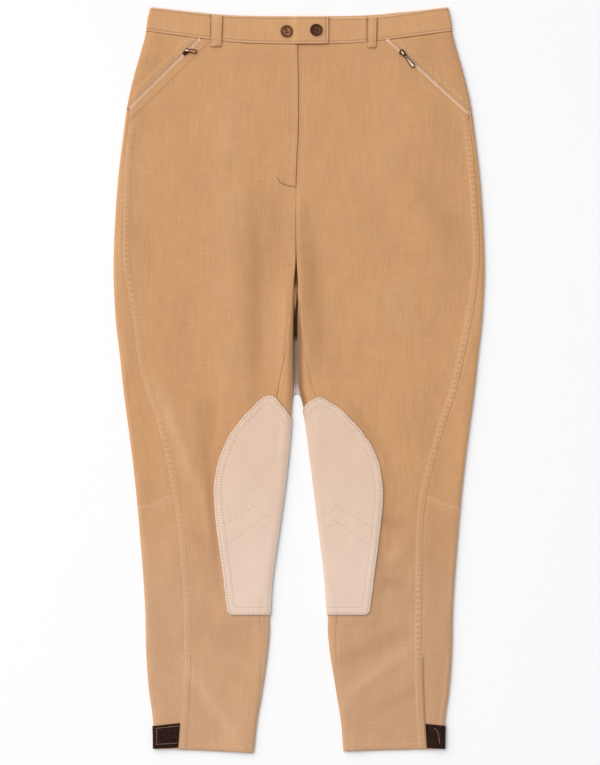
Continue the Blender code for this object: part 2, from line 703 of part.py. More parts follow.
def waistband(side, cloth):
    """Half of the band: centre back, round the side fold, and over the front to the fly or the tab."""
    start = side * centre_x(WAIST_TOP_Y) + 0.5 * SEAM_GAP
    back = np.array((start, 5.0, 9.0, 13.0, 50.0, 108.0, 115.0, 121.0, 126.0, 131.0, 137.0, 143.0, 170.0))
    if side == RIGHT:
        overlap = np.array((60.0, 30.0, 14.0, 11.0, 8.0, 5.0, 3.0, -0.5, -12.0, -24.0, -35.5, -TAB_END_X))
    else:
        overlap = np.array((60.0, 30.0, 12.0, start))
    front = np.hstack((175.0, 150.0, 120.0, 90.0, overlap))
    angles = np.radians(np.linspace(-90.0, 90.0, 7))
    columns = len(back) + len(angles) + len(front)
    rise = TAB_HEIGHT - BAND_HEIGHT

    def section(y, depth):
        fold = outer_fold(y) - FOLD_RADIUS
        floor = band_floor(side * back)
        wall_share = 1.0 - 0.4 * floor / (BELT_LOOP_WALL + SEAM_GAP)
        lifted = rise * between(front, 12.0, 2.2) * (side == RIGHT)
        reach = np.hstack((back, fold + (FOLD_RADIUS - depth) * np.cos(angles), front))
        height = np.hstack(
            (
                floor + depth * wall_share,
                FOLD_RADIUS + (FOLD_RADIUS - depth) * np.sin(angles),
                BAND_HEIGHT + lifted - depth,
            )
        )
        return reach, height

    on_front = np.arange(columns) >= len(back) + len(angles) // 2
    grids = []
    for sunk in (BAND_CHAMFER, BAND_WALL - BAND_CHAMFER):
        rows = []
        for share, depth in zip(BAND_STEPS, sunk):
            y = np.full(columns, lerp(WAIST_SEAM_Y, WAIST_TOP_Y, share))
            for _ in range(2):
                reach, height = section(float(y[len(back) + 3]), depth)
                lower, upper = band_edges(side, reach, on_front)
                y = lerp(lower, upper, share)
            rows.append((reach, y, height))
        grids.append(tuple(np.array(part) for part in zip(*rows)))
    if side == RIGHT:
        for reach, y, _ in grids:
            rounding = np.array((1.6, 0.4, 0.2, 0.9))
            reach[:, -1] += rounding
    return wall(f"waistband_{SIDE_NAMES[side]}", side, *grids, cloth)


def strip(name, path, width, thick, finish):
    """A flat strip through (x, y, z) points of its underside, level across its width."""
    points = np.array(path)
    run = np.gradient(points, axis=0)
    run /= np.linalg.norm(run, axis=1)[:, None]
    across = np.stack((run[:, 1], -run[:, 0], np.zeros(len(points))), axis=1)
    across /= np.linalg.norm(across, axis=1)[:, None]
    up = np.cross(across, run)
    grids = []
    for lift in (thick, 0.0):
        sides = [points + across * width * share + up * lift for share in (-0.5, 0.5)]
        grid = np.stack(sides, axis=1)
        grids.append((grid[..., 0], grid[..., 1], grid[..., 2]))
    return wall(name, LEFT, *grids, finish)


def front_belt_loop(side, cloth):
    """Sewn over the band, arched a little so that a belt can pass, and caught on the panel below."""
    low_y, high_y = FRONT_LOOP_Y[side]
    reach = FRONT_LOOP_REACH[side]
    path = []
    for share in (0.0, 0.08, 0.16, 0.3, 0.5, 0.7, 0.86, 0.95, 1.0):
        y = lerp(low_y, high_y, share)
        lower, _ = band_edges(side, np.array(reach), True)
        on_panel = between(y, lower + 2.5, lower - 1.5)
        panel = float(face_height(side, np.array(reach), np.array(lower - 4.0))) + SEAM_GAP
        level = lerp(BAND_HEIGHT + SEAM_GAP, max(panel, 4.4), float(on_panel))
        path.append((side * reach, y, level + BELT_LOOP_ARCH * math.sin(math.pi * share) ** 2))
    return strip(f"belt_loop_front_{SIDE_NAMES[side]}", path, BELT_LOOP_WIDTH, BELT_LOOP_WALL, cloth)


def back_belt_loop(name, x, cloth):
    """Lies flat between the back of the band and the surface below."""
    lower, upper = band_edges(RIGHT, np.array(x), False)
    path = [(x, y, 0.0) for y in np.linspace(float(lower) + 1.0, float(upper) - 0.5, 4)]
    return strip(f"belt_loop_back_{name}", path, BELT_LOOP_WIDTH, BELT_LOOP_WALL, cloth)


def button(name, x, y, seat, horn):
    """Turned button with a raised rim and a dished middle, drilled with four holes."""
    shaped = bmesh.new()
    profile = (
        (0.0, 0.0), (6.2, 0.0), (7.6, 0.9), (BUTTON_RADIUS, 1.7), (7.3, BUTTON_WALL),
        (5.9, BUTTON_WALL), (5.0, 1.9), (0.0, 1.7),
    )
    corners = [shaped.verts.new((r * MM, 0.0, z * MM)) for r, z in profile]
    edges = [shaped.edges.new(pair) for pair in zip(corners, corners[1:])]
    bmesh.ops.spin(
        shaped, geom=corners + edges, axis=(0, 0, 1), cent=(0, 0, 0), angle=math.tau, steps=20, use_merge=True
    )
    bmesh.ops.remove_doubles(shaped, verts=shaped.verts, dist=1e-6)
    made = add_object(name, shaped, horn)
    made.location = (x * MM, y * MM, (seat + SEAM_GAP) * MM)

    drills = bmesh.new()
    for turn in (45.0, 135.0, 225.0, 315.0):
        spot = Matrix.Rotation(math.radians(turn), 4, "Z") @ Vector((BUTTON_HOLE_SPREAD * MM, 0.0, 0.0))
        bmesh.ops.create_cone(
            drills,
            cap_ends=True,
            segments=8,
            radius1=BUTTON_HOLE_RADIUS * MM,
            radius2=BUTTON_HOLE_RADIUS * MM,
            depth=12.0 * MM,
            matrix=Matrix.Translation(spot),
        )
    cutter = add_object(f"{name}_drills", drills, horn)
    cutter.location = made.location
    cutter.hide_render = True
    cutter.display_type = "WIRE"
    holes = made.modifiers.new("thread_holes", "BOOLEAN")
    holes.object = cutter
    holes.solver = "EXACT"
    return made


# ---------------------------------------------------------------- knee patches and hem tabs


def patch_grid(side):
    """Distance out from the inner fold (below 0 under the leg) and y of a patch's columns and rows."""
    half = np.array((0.0, 0.02, 0.055, 0.12, 0.22, 0.32, 0.43, 0.57, 0.72, 0.86, 1.0))
    shares = np.hstack((-half[:0:-1], half))
    size = np.abs(shares)
    top = patch_top[side](size)
    bottom = PATCH_BOTTOM_Y + PATCH_CORNER * between(size, 0.93, 1.0)
    y = lerp(top[None, :], bottom[None, :], np.linspace(0.0, 1.0, 15)[:, None])
    return shares * patch_width(y), y


def around_inner_fold(side, inset, y, lift):
    """Reach and height of a point lifted off the cloth, by its distance from the edge of the laid leg.

    An inset above 0 is on the front face and below 0 under the leg.
    """
    fold_reach, fold_radius, fold_floor = inner_fold(side, y)
    edge = fold_radius + PATCH_LIFT
    turned = np.clip(inset, -edge, edge) / edge
    angle = 0.5 * math.pi * turned
    bend_reach = fold_reach + fold_radius - (fold_radius + lift) * np.cos(angle)
    bend_z = fold_floor + fold_radius + (fold_radius + lift) * np.sin(angle)
    flat_reach = fold_reach + fold_radius + np.abs(inset) - edge
    over_reach, over_z = face(side, flat_reach, y, -lift)
    under_z = PATCH_LIFT - lift
    reach = np.where(inset > edge, over_reach, np.where(inset < -edge, flat_reach, bend_reach))
    return reach, np.where(inset > edge, over_z, np.where(inset < -edge, under_z, bend_z))


def knee_patch(side, suede):
    inset, y = patch_grid(side)
    grids = []
    for lift in (PATCH_LIFT, PATCH_CLEARANCE):
        reach, height = around_inner_fold(side, inset, y, lift)
        grids.append((reach, y, height))
    return wall(f"knee_patch_{SIDE_NAMES[side]}", side, *grids, suede)


def hem_tab(side, brown):
    """Lies on the calf piece beside the slit and turns down a little over the outer fold."""
    hem = HEM_Y[side] + HEM_RISE[side]
    rows = np.linspace(hem, hem + HEM_TAB_HEIGHT, 4)
    y = rows[:, None]
    end = station_at(side, side_seam[side](y) + 1.0, y)
    turn = np.broadcast_to(np.array((1.55, 1.7, 1.85, 2.0)), (len(rows), 4))
    stations = np.hstack((turn, spread(4, np.full(len(rows), 2.0), end[:, 0])[:, 1:]))
    grids = []
    for lift in (SEAM_GAP + HEM_TAB_WALL, SEAM_GAP):
        reach, height = skin(side, y, stations, -lift)
        grids.append((reach, y, height))
    return wall(f"hem_tab_{SIDE_NAMES[side]}", side, *grids, brown)


# ---------------------------------------------------------------- pocket zips

SLIDER_LENGTH = 8.8
SLIDER_WIDTH = 6.4
SLIDER_WALL = 1.6
BRIDGE_HALF = 2.6
BRIDGE_WALL = 0.8
BRIDGE_WIDTH = 1.6
PULL_AXIS_LIFT = 1.15
PULL_WALL = 1.0
PULL_WIDTH = 5.6
PULL_TILT = 6.0
WINDOW_WIDTH = 2.6
WINDOW_END = 4.6


def zip_tape(side, cream):
    """Strip between the two welts, sunk a little below them."""
    line = ZIPS[side]
    shares = np.linspace(0.0, 0.965, 9)
    reach = lerp(line.top_reach, line.end_reach, shares)
    lower, _ = band_edges(side, np.array(line.top_reach), True)
    y = lerp(line.top_y, line.end_y, shares)
    y[0] = float(lower) - 2.0 * SEAM_GAP - 0.5 * ZIP_TAPE_WIDTH
    reach[0] = float(zip_reach(side, y[0]))
    height = face_height(side, reach, y) - ZIP_WELT_RISE - ZIP_TAPE_WALL
    path = np.stack((side * reach, y, height), axis=1)
    return strip(f"zip_tape_{SIDE_NAMES[side]}", path, ZIP_TAPE_WIDTH, ZIP_TAPE_WALL, cream)


def slider_seat(side):
    """Centre of the slider on the zip line, at the height of the welts under it."""
    line = ZIPS[side]
    reach = lerp(line.top_reach, line.end_reach, line.slider_share)
    y = lerp(line.top_y, line.end_y, line.slider_share)
    around = face_height(side, reach + np.array((-4.0, 0.0, 4.0))[:, None], y + np.array((-4.0, 0.0, 4.0)))
    return Vector((side * reach, y, float(around.max()) + SEAM_GAP))


def block(shaped, size, centre, turn=0.0):
    """Adds a box in millimetres to a bmesh, turned about Z, and returns its corners."""
    place = Matrix.Rotation(turn, 4, "Z") @ Matrix.Translation(Vector(centre) * MM)
    scale = Matrix.Diagonal(Vector((*size, 1.0 / MM)) * MM)
    return bmesh.ops.create_cube(shaped, size=1.0, matrix=place @ scale)["verts"]


def zip_slider(side, brass):
    """Slider body along the zip, with an open bridge over the bar of its pull tab."""
    line = ZIPS[side]
    seat = slider_seat(side)
    run = math.atan2(line.end_y - line.top_y, side * (line.end_reach - line.top_reach))
    body = bmesh.new()
    plate = block(body, (SLIDER_LENGTH, SLIDER_WIDTH, SLIDER_WALL), (0.0, 0.0, 0.5 * SLIDER_WALL))
    nose = [v for v in plate if v.co.x > 0.0]
    bmesh.ops.scale(body, vec=(1.0, 0.62, 1.0), verts=nose)
    bmesh.ops.bevel(
        body, geom=body.edges[:], offset=0.45 * MM, segments=1, affect="EDGES", profile=0.5, material=-1
    )
    bmesh.ops.rotate(body, cent=(0, 0, 0), matrix=Matrix.Rotation(run, 3, "Z"), verts=body.verts)
    made = add_object(f"zip_slider_{SIDE_NAMES[side]}", body, brass)
    made.location = seat * MM

    bridge = bmesh.new()
    turn = math.radians(line.tab_angle)
    foot = SLIDER_WALL - 0.5
    top = SLIDER_WALL + PULL_AXIS_LIFT + 0.95
    outline = (
        (-BRIDGE_HALF - 0.4, foot), (-BRIDGE_HALF - 0.4, top - 0.3), (-BRIDGE_HALF + 0.3, top + BRIDGE_WALL),
        (BRIDGE_HALF - 0.3, top + BRIDGE_WALL), (BRIDGE_HALF + 0.4, top - 0.3), (BRIDGE_HALF + 0.4, foot),
        (BRIDGE_HALF - 0.4, foot), (BRIDGE_HALF - 0.4, top - 0.4), (BRIDGE_HALF - 0.8, top),
        (-BRIDGE_HALF + 0.8, top), (-BRIDGE_HALF + 0.4, top - 0.4), (-BRIDGE_HALF + 0.4, foot),
    )
    profile = [bridge.verts.new((x * MM, -0.5 * BRIDGE_WIDTH * MM, z * MM)) for x, z in outline]
    side_face = bridge.faces.new(profile)
    pushed = bmesh.ops.extrude_face_region(bridge, geom=[side_face])["geom"]
    moved = [item for item in pushed if isinstance(item, bmesh.types.BMVert)]
    bmesh.ops.translate(bridge, vec=(0.0, BRIDGE_WIDTH * MM, 0.0), verts=moved)
    bmesh.ops.rotate(bridge, cent=(0, 0, 0), matrix=Matrix.Rotation(turn, 3, "Z"), verts=bridge.verts)
    helper = add_object(f"{made.name}_bridge", bridge, brass)
    helper.location = made.location
    helper.hide_render = True
    helper.display_type = "WIRE"
    joined = made.modifiers.new("bridge", "BOOLEAN")
    joined.operation = "UNION"
    joined.object = helper
    joined.solver = "EXACT"
    return made


def pull_tab(side, brass):
    """Flat tab with a window by its hinge bar and a rounded end, hinged about the bar under the bridge."""
    line = ZIPS[side]
    half = 0.5 * PULL_WIDTH
    length = line.tab_length
    shaped = bmesh.new()
    arc = [math.radians(angle) for angle in range(-75, 76, 30)]
    outline = [(-0.5, -0.36 * PULL_WIDTH), (WINDOW_END + 0.8, -0.36 * PULL_WIDTH), (WINDOW_END + 2.6, -half)]
    outline += [(length - half + half * math.cos(angle), half * math.sin(angle)) for angle in arc]
    outline += [(WINDOW_END + 2.6, half), (WINDOW_END + 0.8, 0.36 * PULL_WIDTH), (-0.5, 0.36 * PULL_WIDTH)]
    low = [shaped.verts.new((x * MM, y * MM, -0.5 * PULL_WALL * MM)) for x, y in outline]
    base = shaped.faces.new(low)
    pushed = bmesh.ops.extrude_face_region(shaped, geom=[base])["geom"]
    moved = [item for item in pushed if isinstance(item, bmesh.types.BMVert)]
    bmesh.ops.translate(shaped, vec=(0.0, 0.0, PULL_WALL * MM), verts=moved)
    made = add_object(f"pull_tab_{SIDE_NAMES[side]}", shaped, brass)

    window = bmesh.new()
    block(window, (WINDOW_END - 0.5, WINDOW_WIDTH, 6.0), (0.5 * (WINDOW_END + 0.5), 0.0, 0.0))
    cutter = add_object(f"{made.name}_window", window, brass)
    cutter.hide_render = True
    cutter.display_type = "WIRE"
    opening = made.modifiers.new("window", "BOOLEAN")
    opening.object = cutter
    opening.solver = "EXACT"

    hinge = bpy.data.objects.new(f"hinge_{SIDE_NAMES[side]}", None)
    bpy.context.collection.objects.link(hinge)
    hinge.location = (slider_seat(side) + Vector((0.0, 0.0, SLIDER_WALL + PULL_AXIS_LIFT))) * MM
    hinge.rotation_euler = (0.0, math.radians(PULL_TILT), math.radians(line.tab_angle))
    made.parent = hinge
    cutter.parent = hinge
    return made


# ---------------------------------------------------------------- the garment


def build():
    clear_scene()
    cloth = material("cotton_twill", CLOTH_TAN, 0.85)
    band = material("band_twill", BAND_TAN, 0.85)
    suede = material("knee_suede", SUEDE_CREAM, 0.95)
    cream = material("zip_tape", TAPE_CREAM, 0.8)
    brass = material("antique_brass", BRASS_BROWN, 0.4, 0.9)
    horn = material("button_horn", HORN_BROWN, 0.35)
    brown = material("hook_and_loop", TAB_BROWN, 0.95)
    upper_rows = np.array((*BODY_ROWS, *LEG_ROWS, CALF_SEAM_Y))
    for side in (RIGHT, LEFT):
        name = SIDE_NAMES[side]
        front_panel(side, cloth)
        back_panel(f"back_{name}", side, upper_rows, -1, cloth)
        back_panel(f"calf_{name}", side, np.array((*CALF_ROWS, HEM_Y[side])), 0, cloth)
        hip_panel(side, cloth)
        waistband(side, band)
        front_belt_loop(side, band)
        knee_patch(side, suede)
        hem_tab(side, brown)
        zip_tape(side, cream)
        zip_slider(side, brass)
        pull_tab(side, brass)
    for name, x in BACK_LOOPS_X.items():
        back_belt_loop(name, x, band)
    for name, (x, y, seat) in BUTTONS.items():
        button(name, x, y, seat, horn)


build()
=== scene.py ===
"""The looks of riding breeches laid flat on their back with the front up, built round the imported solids.

Tables and sizes are in millimetres, and MM makes them metres. +X is the wearer's left, +Y runs up to the
waist and +Z up from the surface. On either side, reach is the distance outward from the plane X = 0.
"""

from collections import namedtuple
import json
import math

import bmesh
import bpy
from mathutils import Matrix, Vector
import numpy as np


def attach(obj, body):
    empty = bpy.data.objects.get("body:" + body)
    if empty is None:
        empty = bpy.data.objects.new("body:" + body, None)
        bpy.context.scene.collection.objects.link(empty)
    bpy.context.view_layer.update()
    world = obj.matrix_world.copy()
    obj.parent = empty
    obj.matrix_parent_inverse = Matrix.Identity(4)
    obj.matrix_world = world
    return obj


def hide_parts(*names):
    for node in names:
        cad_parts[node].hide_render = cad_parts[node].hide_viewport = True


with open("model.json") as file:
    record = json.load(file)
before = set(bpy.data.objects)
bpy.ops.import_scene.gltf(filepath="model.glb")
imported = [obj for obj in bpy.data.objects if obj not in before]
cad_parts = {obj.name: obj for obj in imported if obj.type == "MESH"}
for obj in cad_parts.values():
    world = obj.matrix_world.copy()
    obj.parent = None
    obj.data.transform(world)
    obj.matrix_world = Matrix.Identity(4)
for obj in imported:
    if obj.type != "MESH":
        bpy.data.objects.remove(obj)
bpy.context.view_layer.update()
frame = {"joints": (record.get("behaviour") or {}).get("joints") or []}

MM = 0.001
GARMENT = "garment"
RIGHT, LEFT = -1, 1
SIDE_NAMES = {RIGHT: "right", LEFT: "left"}

# ---------------------------------------------------------------- back legs
# The back of each leg is one piece of stretch cotton twill. It wraps the inner and the outer fold of the laid
# leg and is seamed to the front on the upper face, so its section is followed all the way round.

CLOTH = 1.2
PANEL_GAP = 0.4
INSEAM_GAP = 0.16
SEAM_GAP = 0.3
ALLOWANCE = 4.0
ALLOWANCE_SINK = 1.45
EDGE_ROLL = 0.55
EDGE_ROLL_WIDTH = 1.3
FOLD_RADIUS = 2.6
OUTER_WIDE = 3.6
INNER_WIDE = 8.5
SEAT_FOLD_WIDE = 4.0
FOLD_EASE = 30.0
LEAST_HEIGHT = 2.75
MID_HEIGHT = 3.9
MOST_HEIGHT = 7.4
PATCH_WALL = 1.2
PATCH_LIFT = PATCH_WALL + 0.5
PATCH_RISE = 1.1
PATCH_SQUASH = 0.8
PATCH_FOOT_EASE_Y = -327.0

WAIST_SEAM_Y = 435.5
WAIST_TOP_Y = 472.6
HEM_Y = {RIGHT: -484.6, LEFT: -482.4}
HEM_RISE = {RIGHT: 6.2, LEFT: 3.6}
HEM_LOW_REACH = 60.0
HEM_RUN = 130.0
HEM_STITCH = 7.6
FORK_Y = 98.8
FORK_END_Y = 55.9
CALF_SEAM_Y = -170.0
SLIT_TOP_Y = -359.0
SEAM_ROWS = (1.7, 8.4)
SEAM_FADE = (345.0, 325.0)
WELT_ROWS = {"hip": (2.6, 6.4, 10.0), "front": (9.6,)}
WELT_LENGTH = 130.0
WELT_SHIFT = 1.4
FLY_WIDTH = 23.4
FLY_BOTTOM_Y = 251.0


def table(columns, rows):
    """Rows of figures whose columns have names."""
    row_of = namedtuple("Row", columns)
    return [row_of(*row) for row in rows]


OUTLINE = table("y outer gap centre", (
    (485.0, 193.2, 3.2, -2.0), (468.0, 197.0, 3.2, -2.0), (447.0, 199.8, 3.2, -1.7),
    (426.5, 205.4, 3.2, -1.4), (396.5, 213.9, 3.2, -0.7), (357.5, 222.8, 3.2, -0.4),
    (318.5, 228.2, 3.2, -0.9), (290.0, 231.9, 3.2, -2.5), (260.0, 235.2, 3.2, -3.5),
    (235.0, 237.2, 3.2, -3.6), (201.5, 239.2, 3.2, -4.2), (143.0, 241.0, 3.2, -3.6),
    (106.5, 239.8, 3.2, -3.9), (80.5, 238.3, 2.5, -4.4), (26.0, 232.1, 2.9, -4.6), (0.0, 229.5, 3.1, -4.3),
    (-19.5, 227.2, 4.1, -3.2), (-52.0, 223.0, 8.0, -1.0), (-91.0, 217.8, 12.2, 0.1),
    (-149.5, 211.2, 19.1, 0.5), (-208.0, 206.1, 26.7, 0.0), (-266.5, 201.6, 34.0, -0.6),
    (-305.5, 199.6, 36.3, -0.5), (-344.5, 198.9, 39.4, -0.4), (-403.0, 195.0, 47.8, 0.2),
    (-442.0, 189.8, 54.3, 0.0), (-485.0, 188.4, 58.4, -0.6),
))

SIDE_SEAM = table("y right left", (
    (338.0, 221.0, 221.0), (306.5, 224.9, 225.6), (230.0, 228.5, 232.5), (164.0, 229.4, 235.6),
    (126.0, 224.9, 232.6), (71.5, 215.4, 223.6), (28.5, 209.8, 214.8), (-11.5, 200.2, 205.6),
    (-45.5, 188.5, 194.4), (-91.0, 176.4, 180.7), (-136.5, 167.0, 169.4), (-170.5, 161.2, 163.4),
    (-214.5, 156.6, 161.6), (-264.0, 152.2, 160.8), (-359.0, 150.0, 160.2), (-431.5, 152.8, 162.2),
    (-485.0, 156.6, 165.6),
))

INSEAM = table("y inset", (
    (107.0, 1.8), (98.8, 2.2), (39.0, 8.6), (13.0, 15.0), (-15.5, 20.0), (-91.0, 24.0), (-234.0, 18.0),
    (-307.0, 12.2), (-344.5, 9.4), (-403.0, 2.6), (-442.0, 1.3), (-485.0, 0.9),
))

# Soft ridges (height above 0) and troughs of the front layer, as straight creases with soft ends.
CREASES = table("side reach y end_reach end_y width height", (
    (RIGHT, 56.0, 236.0, 57.0, -14.0, 12.0, -1.3), (RIGHT, 31.0, 236.0, 30.0, 128.0, 15.0, -0.7),
    (RIGHT, 17.0, 122.0, 18.0, -6.0, 7.5, 0.8), (RIGHT, 94.0, 400.0, 98.0, -10.0, 18.0, 0.4),
    (RIGHT, 205.0, 208.0, 200.0, 156.0, 16.0, -0.35), (RIGHT, 155.0, 130.0, 152.0, -26.0, 16.0, -0.3),
    (RIGHT, 178.0, -18.0, 132.0, -143.0, 9.0, 1.5), (RIGHT, 122.0, -28.0, 114.0, -120.0, 14.0, -0.7),
    (RIGHT, 119.0, -100.0, 105.0, -270.0, 7.0, -1.2), (RIGHT, 176.0, -130.0, 178.0, -312.0, 16.0, 0.5),
    (RIGHT, 138.0, -316.0, 62.0, -346.0, 19.0, -0.45), (RIGHT, 148.0, -364.0, 84.0, -461.0, 9.0, 1.3),
    (RIGHT, 232.0, 330.0, 228.0, 60.0, 10.0, 0.5), (RIGHT, 130.0, -120.0, 118.0, -190.0, 6.0, 0.4),
    (RIGHT, 138.0, -196.0, 112.0, -226.0, 8.0, -0.4), (RIGHT, 70.0, -470.0, 120.0, -478.0, 14.0, 0.5),
    (LEFT, 9.0, 208.0, 27.0, 40.0, 14.0, -1.15), (LEFT, 1.5, 247.0, -0.5, 150.0, 4.0, 0.5),
    (LEFT, 138.0, 140.0, 132.0, 56.0, 22.0, 0.5), (LEFT, 118.0, 380.0, 126.0, 250.0, 26.0, 0.3),
    (LEFT, 198.0, 215.0, 204.0, 148.0, 22.0, -0.3), (LEFT, 158.0, 262.0, 196.0, 190.0, 14.0, -0.4),
    (LEFT, 72.0, -36.0, 108.0, -94.0, 7.0, -1.0), (LEFT, 115.0, -104.0, 100.0, -290.0, 7.0, -0.9),
    (LEFT, 108.0, -182.0, 136.0, -192.0, 8.0, -0.9), (LEFT, 134.0, -214.0, 116.0, -238.0, 9.0, 0.9),
    (LEFT, 112.0, -262.0, 138.0, -270.0, 9.0, -0.7), (LEFT, 50.0, -370.0, 131.0, -331.0, 12.0, -0.8),
    (LEFT, 62.0, -411.0, 151.0, -344.0, 9.0, 1.0), (LEFT, 92.0, -435.0, 157.0, -403.0, 9.0, -0.5),
    (LEFT, 184.0, -120.0, 184.0, -470.0, 22.0, -0.8), (LEFT, 178.0, 40.0, 168.0, -100.0, 24.0, -0.3),
    (LEFT, 66.0, -470.0, 120.0, -478.0, 14.0, 0.5),
))

Zip = namedtuple("Zip", "top_reach top_y end_reach end_y tab_angle tab_length")
ZIPS = {
    RIGHT: Zip(130.5, 442.0, 224.0, 350.0, -8.0, 15.0),
    LEFT: Zip(116.5, 441.0, 224.0, 343.0, -51.0, 26.0),
}
ZIP_TAPE_WIDTH = 5.4
ZIP_OPEN = 2.1
HIP_END_Y = {RIGHT: 351.0, LEFT: 344.5}
HIP_END_ROW = {RIGHT: 342.4, LEFT: 337.0}
ZIP_WELT_WIDTH = 11.2
ZIP_WELT_RISE = 0.5

PATCH_WIDTH = table("y right left", (
    (-75.4, 82.0, 78.6), (-84.0, 85.2, 82.2), (-95.0, 88.8, 86.3), (-106.0, 91.4, 89.0), (-117.0, 92.8, 90.2),
    (-136.5, 93.4, 90.7), (-157.0, 90.7, 88.6), (-187.0, 84.0, 82.0), (-217.0, 75.8, 75.0),
    (-258.5, 64.2, 64.5), (-296.5, 57.7, 57.2), (-305.5, 56.0, 55.4),
))

CALF_SEAM = table("station y", (
    (-1.20, -173.0), (-0.50, -175.0), (0.00, -176.0), (0.50, -187.0), (1.00, -171.0), (1.50, -170.0),
    (2.00, -169.0), (2.27, -151.8),
))

Arch = namedtuple("Arch", "slope start bend")
SEAM_ARCH = Arch(0.069, 75.0, 30.0)
TOP_ARCH = Arch(0.055, 90.0, 30.0)


def soft_step(share):
    share = clamped(share)
    return share * share * (3.0 - 2.0 * share)


def between(value, start, end):
    """0 at start, 1 at end, with soft ends; start may be the greater."""
    return soft_step((value - start) / (end - start))


def lerp(start, end, share):
    return start + (end - start) * share


def clamped(share):
    return np.clip(share, 0.0, 1.0)


def paired(*values):
    """The same values as arrays of one shape."""
    return np.broadcast_arrays(*(np.asarray(value, float) for value in values))


def nearest(places, line):
    """Distance of each place from the nearest point of a line."""
    return np.sqrt(((places[:, None, :] - line[None, :, :]) ** 2).sum(axis=2)).min(axis=1)


def crowded_ends(share, crowd):
    """Shares drawn together toward both ends, so that edges get the fine columns."""
    return share - crowd * np.sin(math.tau * share) / math.tau


def curve(figures, place, value):
    """A smooth function through two named columns of a table, level beyond both ends."""
    rows = sorted((getattr(row, place), getattr(row, value)) for row in figures)
    places, values = np.array(rows).T
    steps = np.diff(values) / np.diff(places)
    before = np.hstack((steps[:1], steps))
    after = np.hstack((steps, steps[-1:]))
    most = np.where(before * after > 0.0, 2.5 * np.minimum(np.abs(before), np.abs(after)), 0.0)
    slopes = np.clip(np.gradient(values, places), -most, most)

    def at(where):
        where = np.clip(where, places[0], places[-1])
        low = np.clip(np.searchsorted(places, where) - 1, 0, len(places) - 2)
        step = places[low + 1] - places[low]
        share = (where - places[low]) / step
        rest = 1.0 - share
        return (
            (1.0 + 2.0 * share) * rest**2 * values[low]
            + share * rest**2 * step * slopes[low]
            + (1.0 + 2.0 * rest) * share**2 * values[low + 1]
            - rest * share**2 * step * slopes[low + 1]
        )

    return at


outer_fold = curve(OUTLINE, "y", "outer")
leg_gap = curve(OUTLINE, "y", "gap")
centre_x = curve(OUTLINE, "y", "centre")
inseam_inset = curve(INSEAM, "y", "inset")
patch_width = {side: curve(PATCH_WIDTH, "y", name) for side, name in SIDE_NAMES.items()}
side_seam = {side: curve(SIDE_SEAM, "y", name) for side, name in SIDE_NAMES.items()}
calf_seam = curve(CALF_SEAM, "station", "y")


def across_centre(side, y):
    return side * centre_x(y)


def inner_fold(side, y):
    """Reach, half width, half height and floor of the inner fold, drawn in under the knee patch.

    The fold was never pressed, so its section is half of a low ellipse.
    """
    under_patch = between(y, -10.0, -34.0) * between(y, PATCH_FOOT_EASE_Y, PATCH_FOOT_EASE_Y + 18.0)
    reach = across_centre(side, y) + leg_gap(y) + PATCH_LIFT * under_patch
    wide = lerp(SEAT_FOLD_WIDE, INNER_WIDE, between(y, 96.0, 40.0))
    return reach, wide, FOLD_RADIUS - PATCH_SQUASH * under_patch, PATCH_LIFT * under_patch


def under_patch_share(side, reach, y):
    inset = reach - across_centre(side, y) - leg_gap(y)
    inside = between(patch_width[side](y) + 18.0 - inset, 0.0, 12.0)
    return inside * between(y, 4.0, -14.0) * between(y, PATCH_FOOT_EASE_Y, PATCH_FOOT_EASE_Y + 16.0)


def floor_height(side, reach, y):
    inset = reach - across_centre(side, y) - leg_gap(y)
    lift = PATCH_LIFT + 0.2 * between(inset, 3.0, 12.0)
    return lift * under_patch_share(side, reach, y)


def crease_height(side, reach, y):
    total = np.zeros(np.broadcast(reach, y).shape)
    for crease in CREASES:
        if crease.side != side:
            continue
        run = np.array((crease.end_reach - crease.reach, crease.end_y - crease.y))
        length = math.hypot(*run)
        run /= length
        along = (reach - crease.reach) * run[0] + (y - crease.y) * run[1]
        off = (reach - crease.reach) * run[1] - (y - crease.y) * run[0]
        fade = between(along, -0.25 * length, 0.3 * length) * between(along, 1.25 * length, 0.7 * length)
        total += crease.height * np.exp(-((off / crease.width) ** 2)) * fade
    return total


SLACK_WAVES = 18
SLACK_LENGTHS = (26.0, 95.0)
SLACK_SLOPE = 0.0016


def slack(side, reach, y):
    """The faint unevenness of cloth that was smoothed by hand: a few long waves, the same at every call."""
    waves = np.random.default_rng(11)
    total = np.zeros(np.broadcast(reach, y).shape)
    for _ in range(SLACK_WAVES):
        angle, phase = waves.uniform(0.0, math.tau, 2)
        length = waves.uniform(*SLACK_LENGTHS)
        across, up = math.cos(angle) / length, 0.6 * math.sin(angle) / length
        total += SLACK_SLOPE * length * np.sin(math.tau * (across * side * reach + up * y) + phase)
    return total


def groove(distance, depth=0.24, half=0.75):
    return -depth * np.exp(-((distance / half) ** 2))


PUCKER_PITCH = 6.9


def puckers(along, shift):
    """Uneven little waves that a row of stitches draws up across a seam."""
    wave = np.sin(math.tau * (along / PUCKER_PITCH + 0.5 * np.sin(along / 29.0 + shift)))
    return wave * (0.72 + 0.28 * np.sin(along / 47.0 + 2.0 * shift))


def sewn_strip(distance, along, rows, shift):
    """Relief of a strip held by two rows of stitches, by the distance from its seam."""
    middle = clamped((distance - rows[0]) / (rows[1] - rows[0]))
    hump = np.sin(math.pi * middle)
    beyond = between(distance, rows[1] + 6.0, rows[1]) * between(distance, rows[1] - 1.0, rows[1])
    relief = 0.16 * hump + puckers(along, shift) * (0.26 * hump + 0.08 * beyond)
    for row in rows:
        relief = relief + groove(distance - row, 0.15)
    return relief


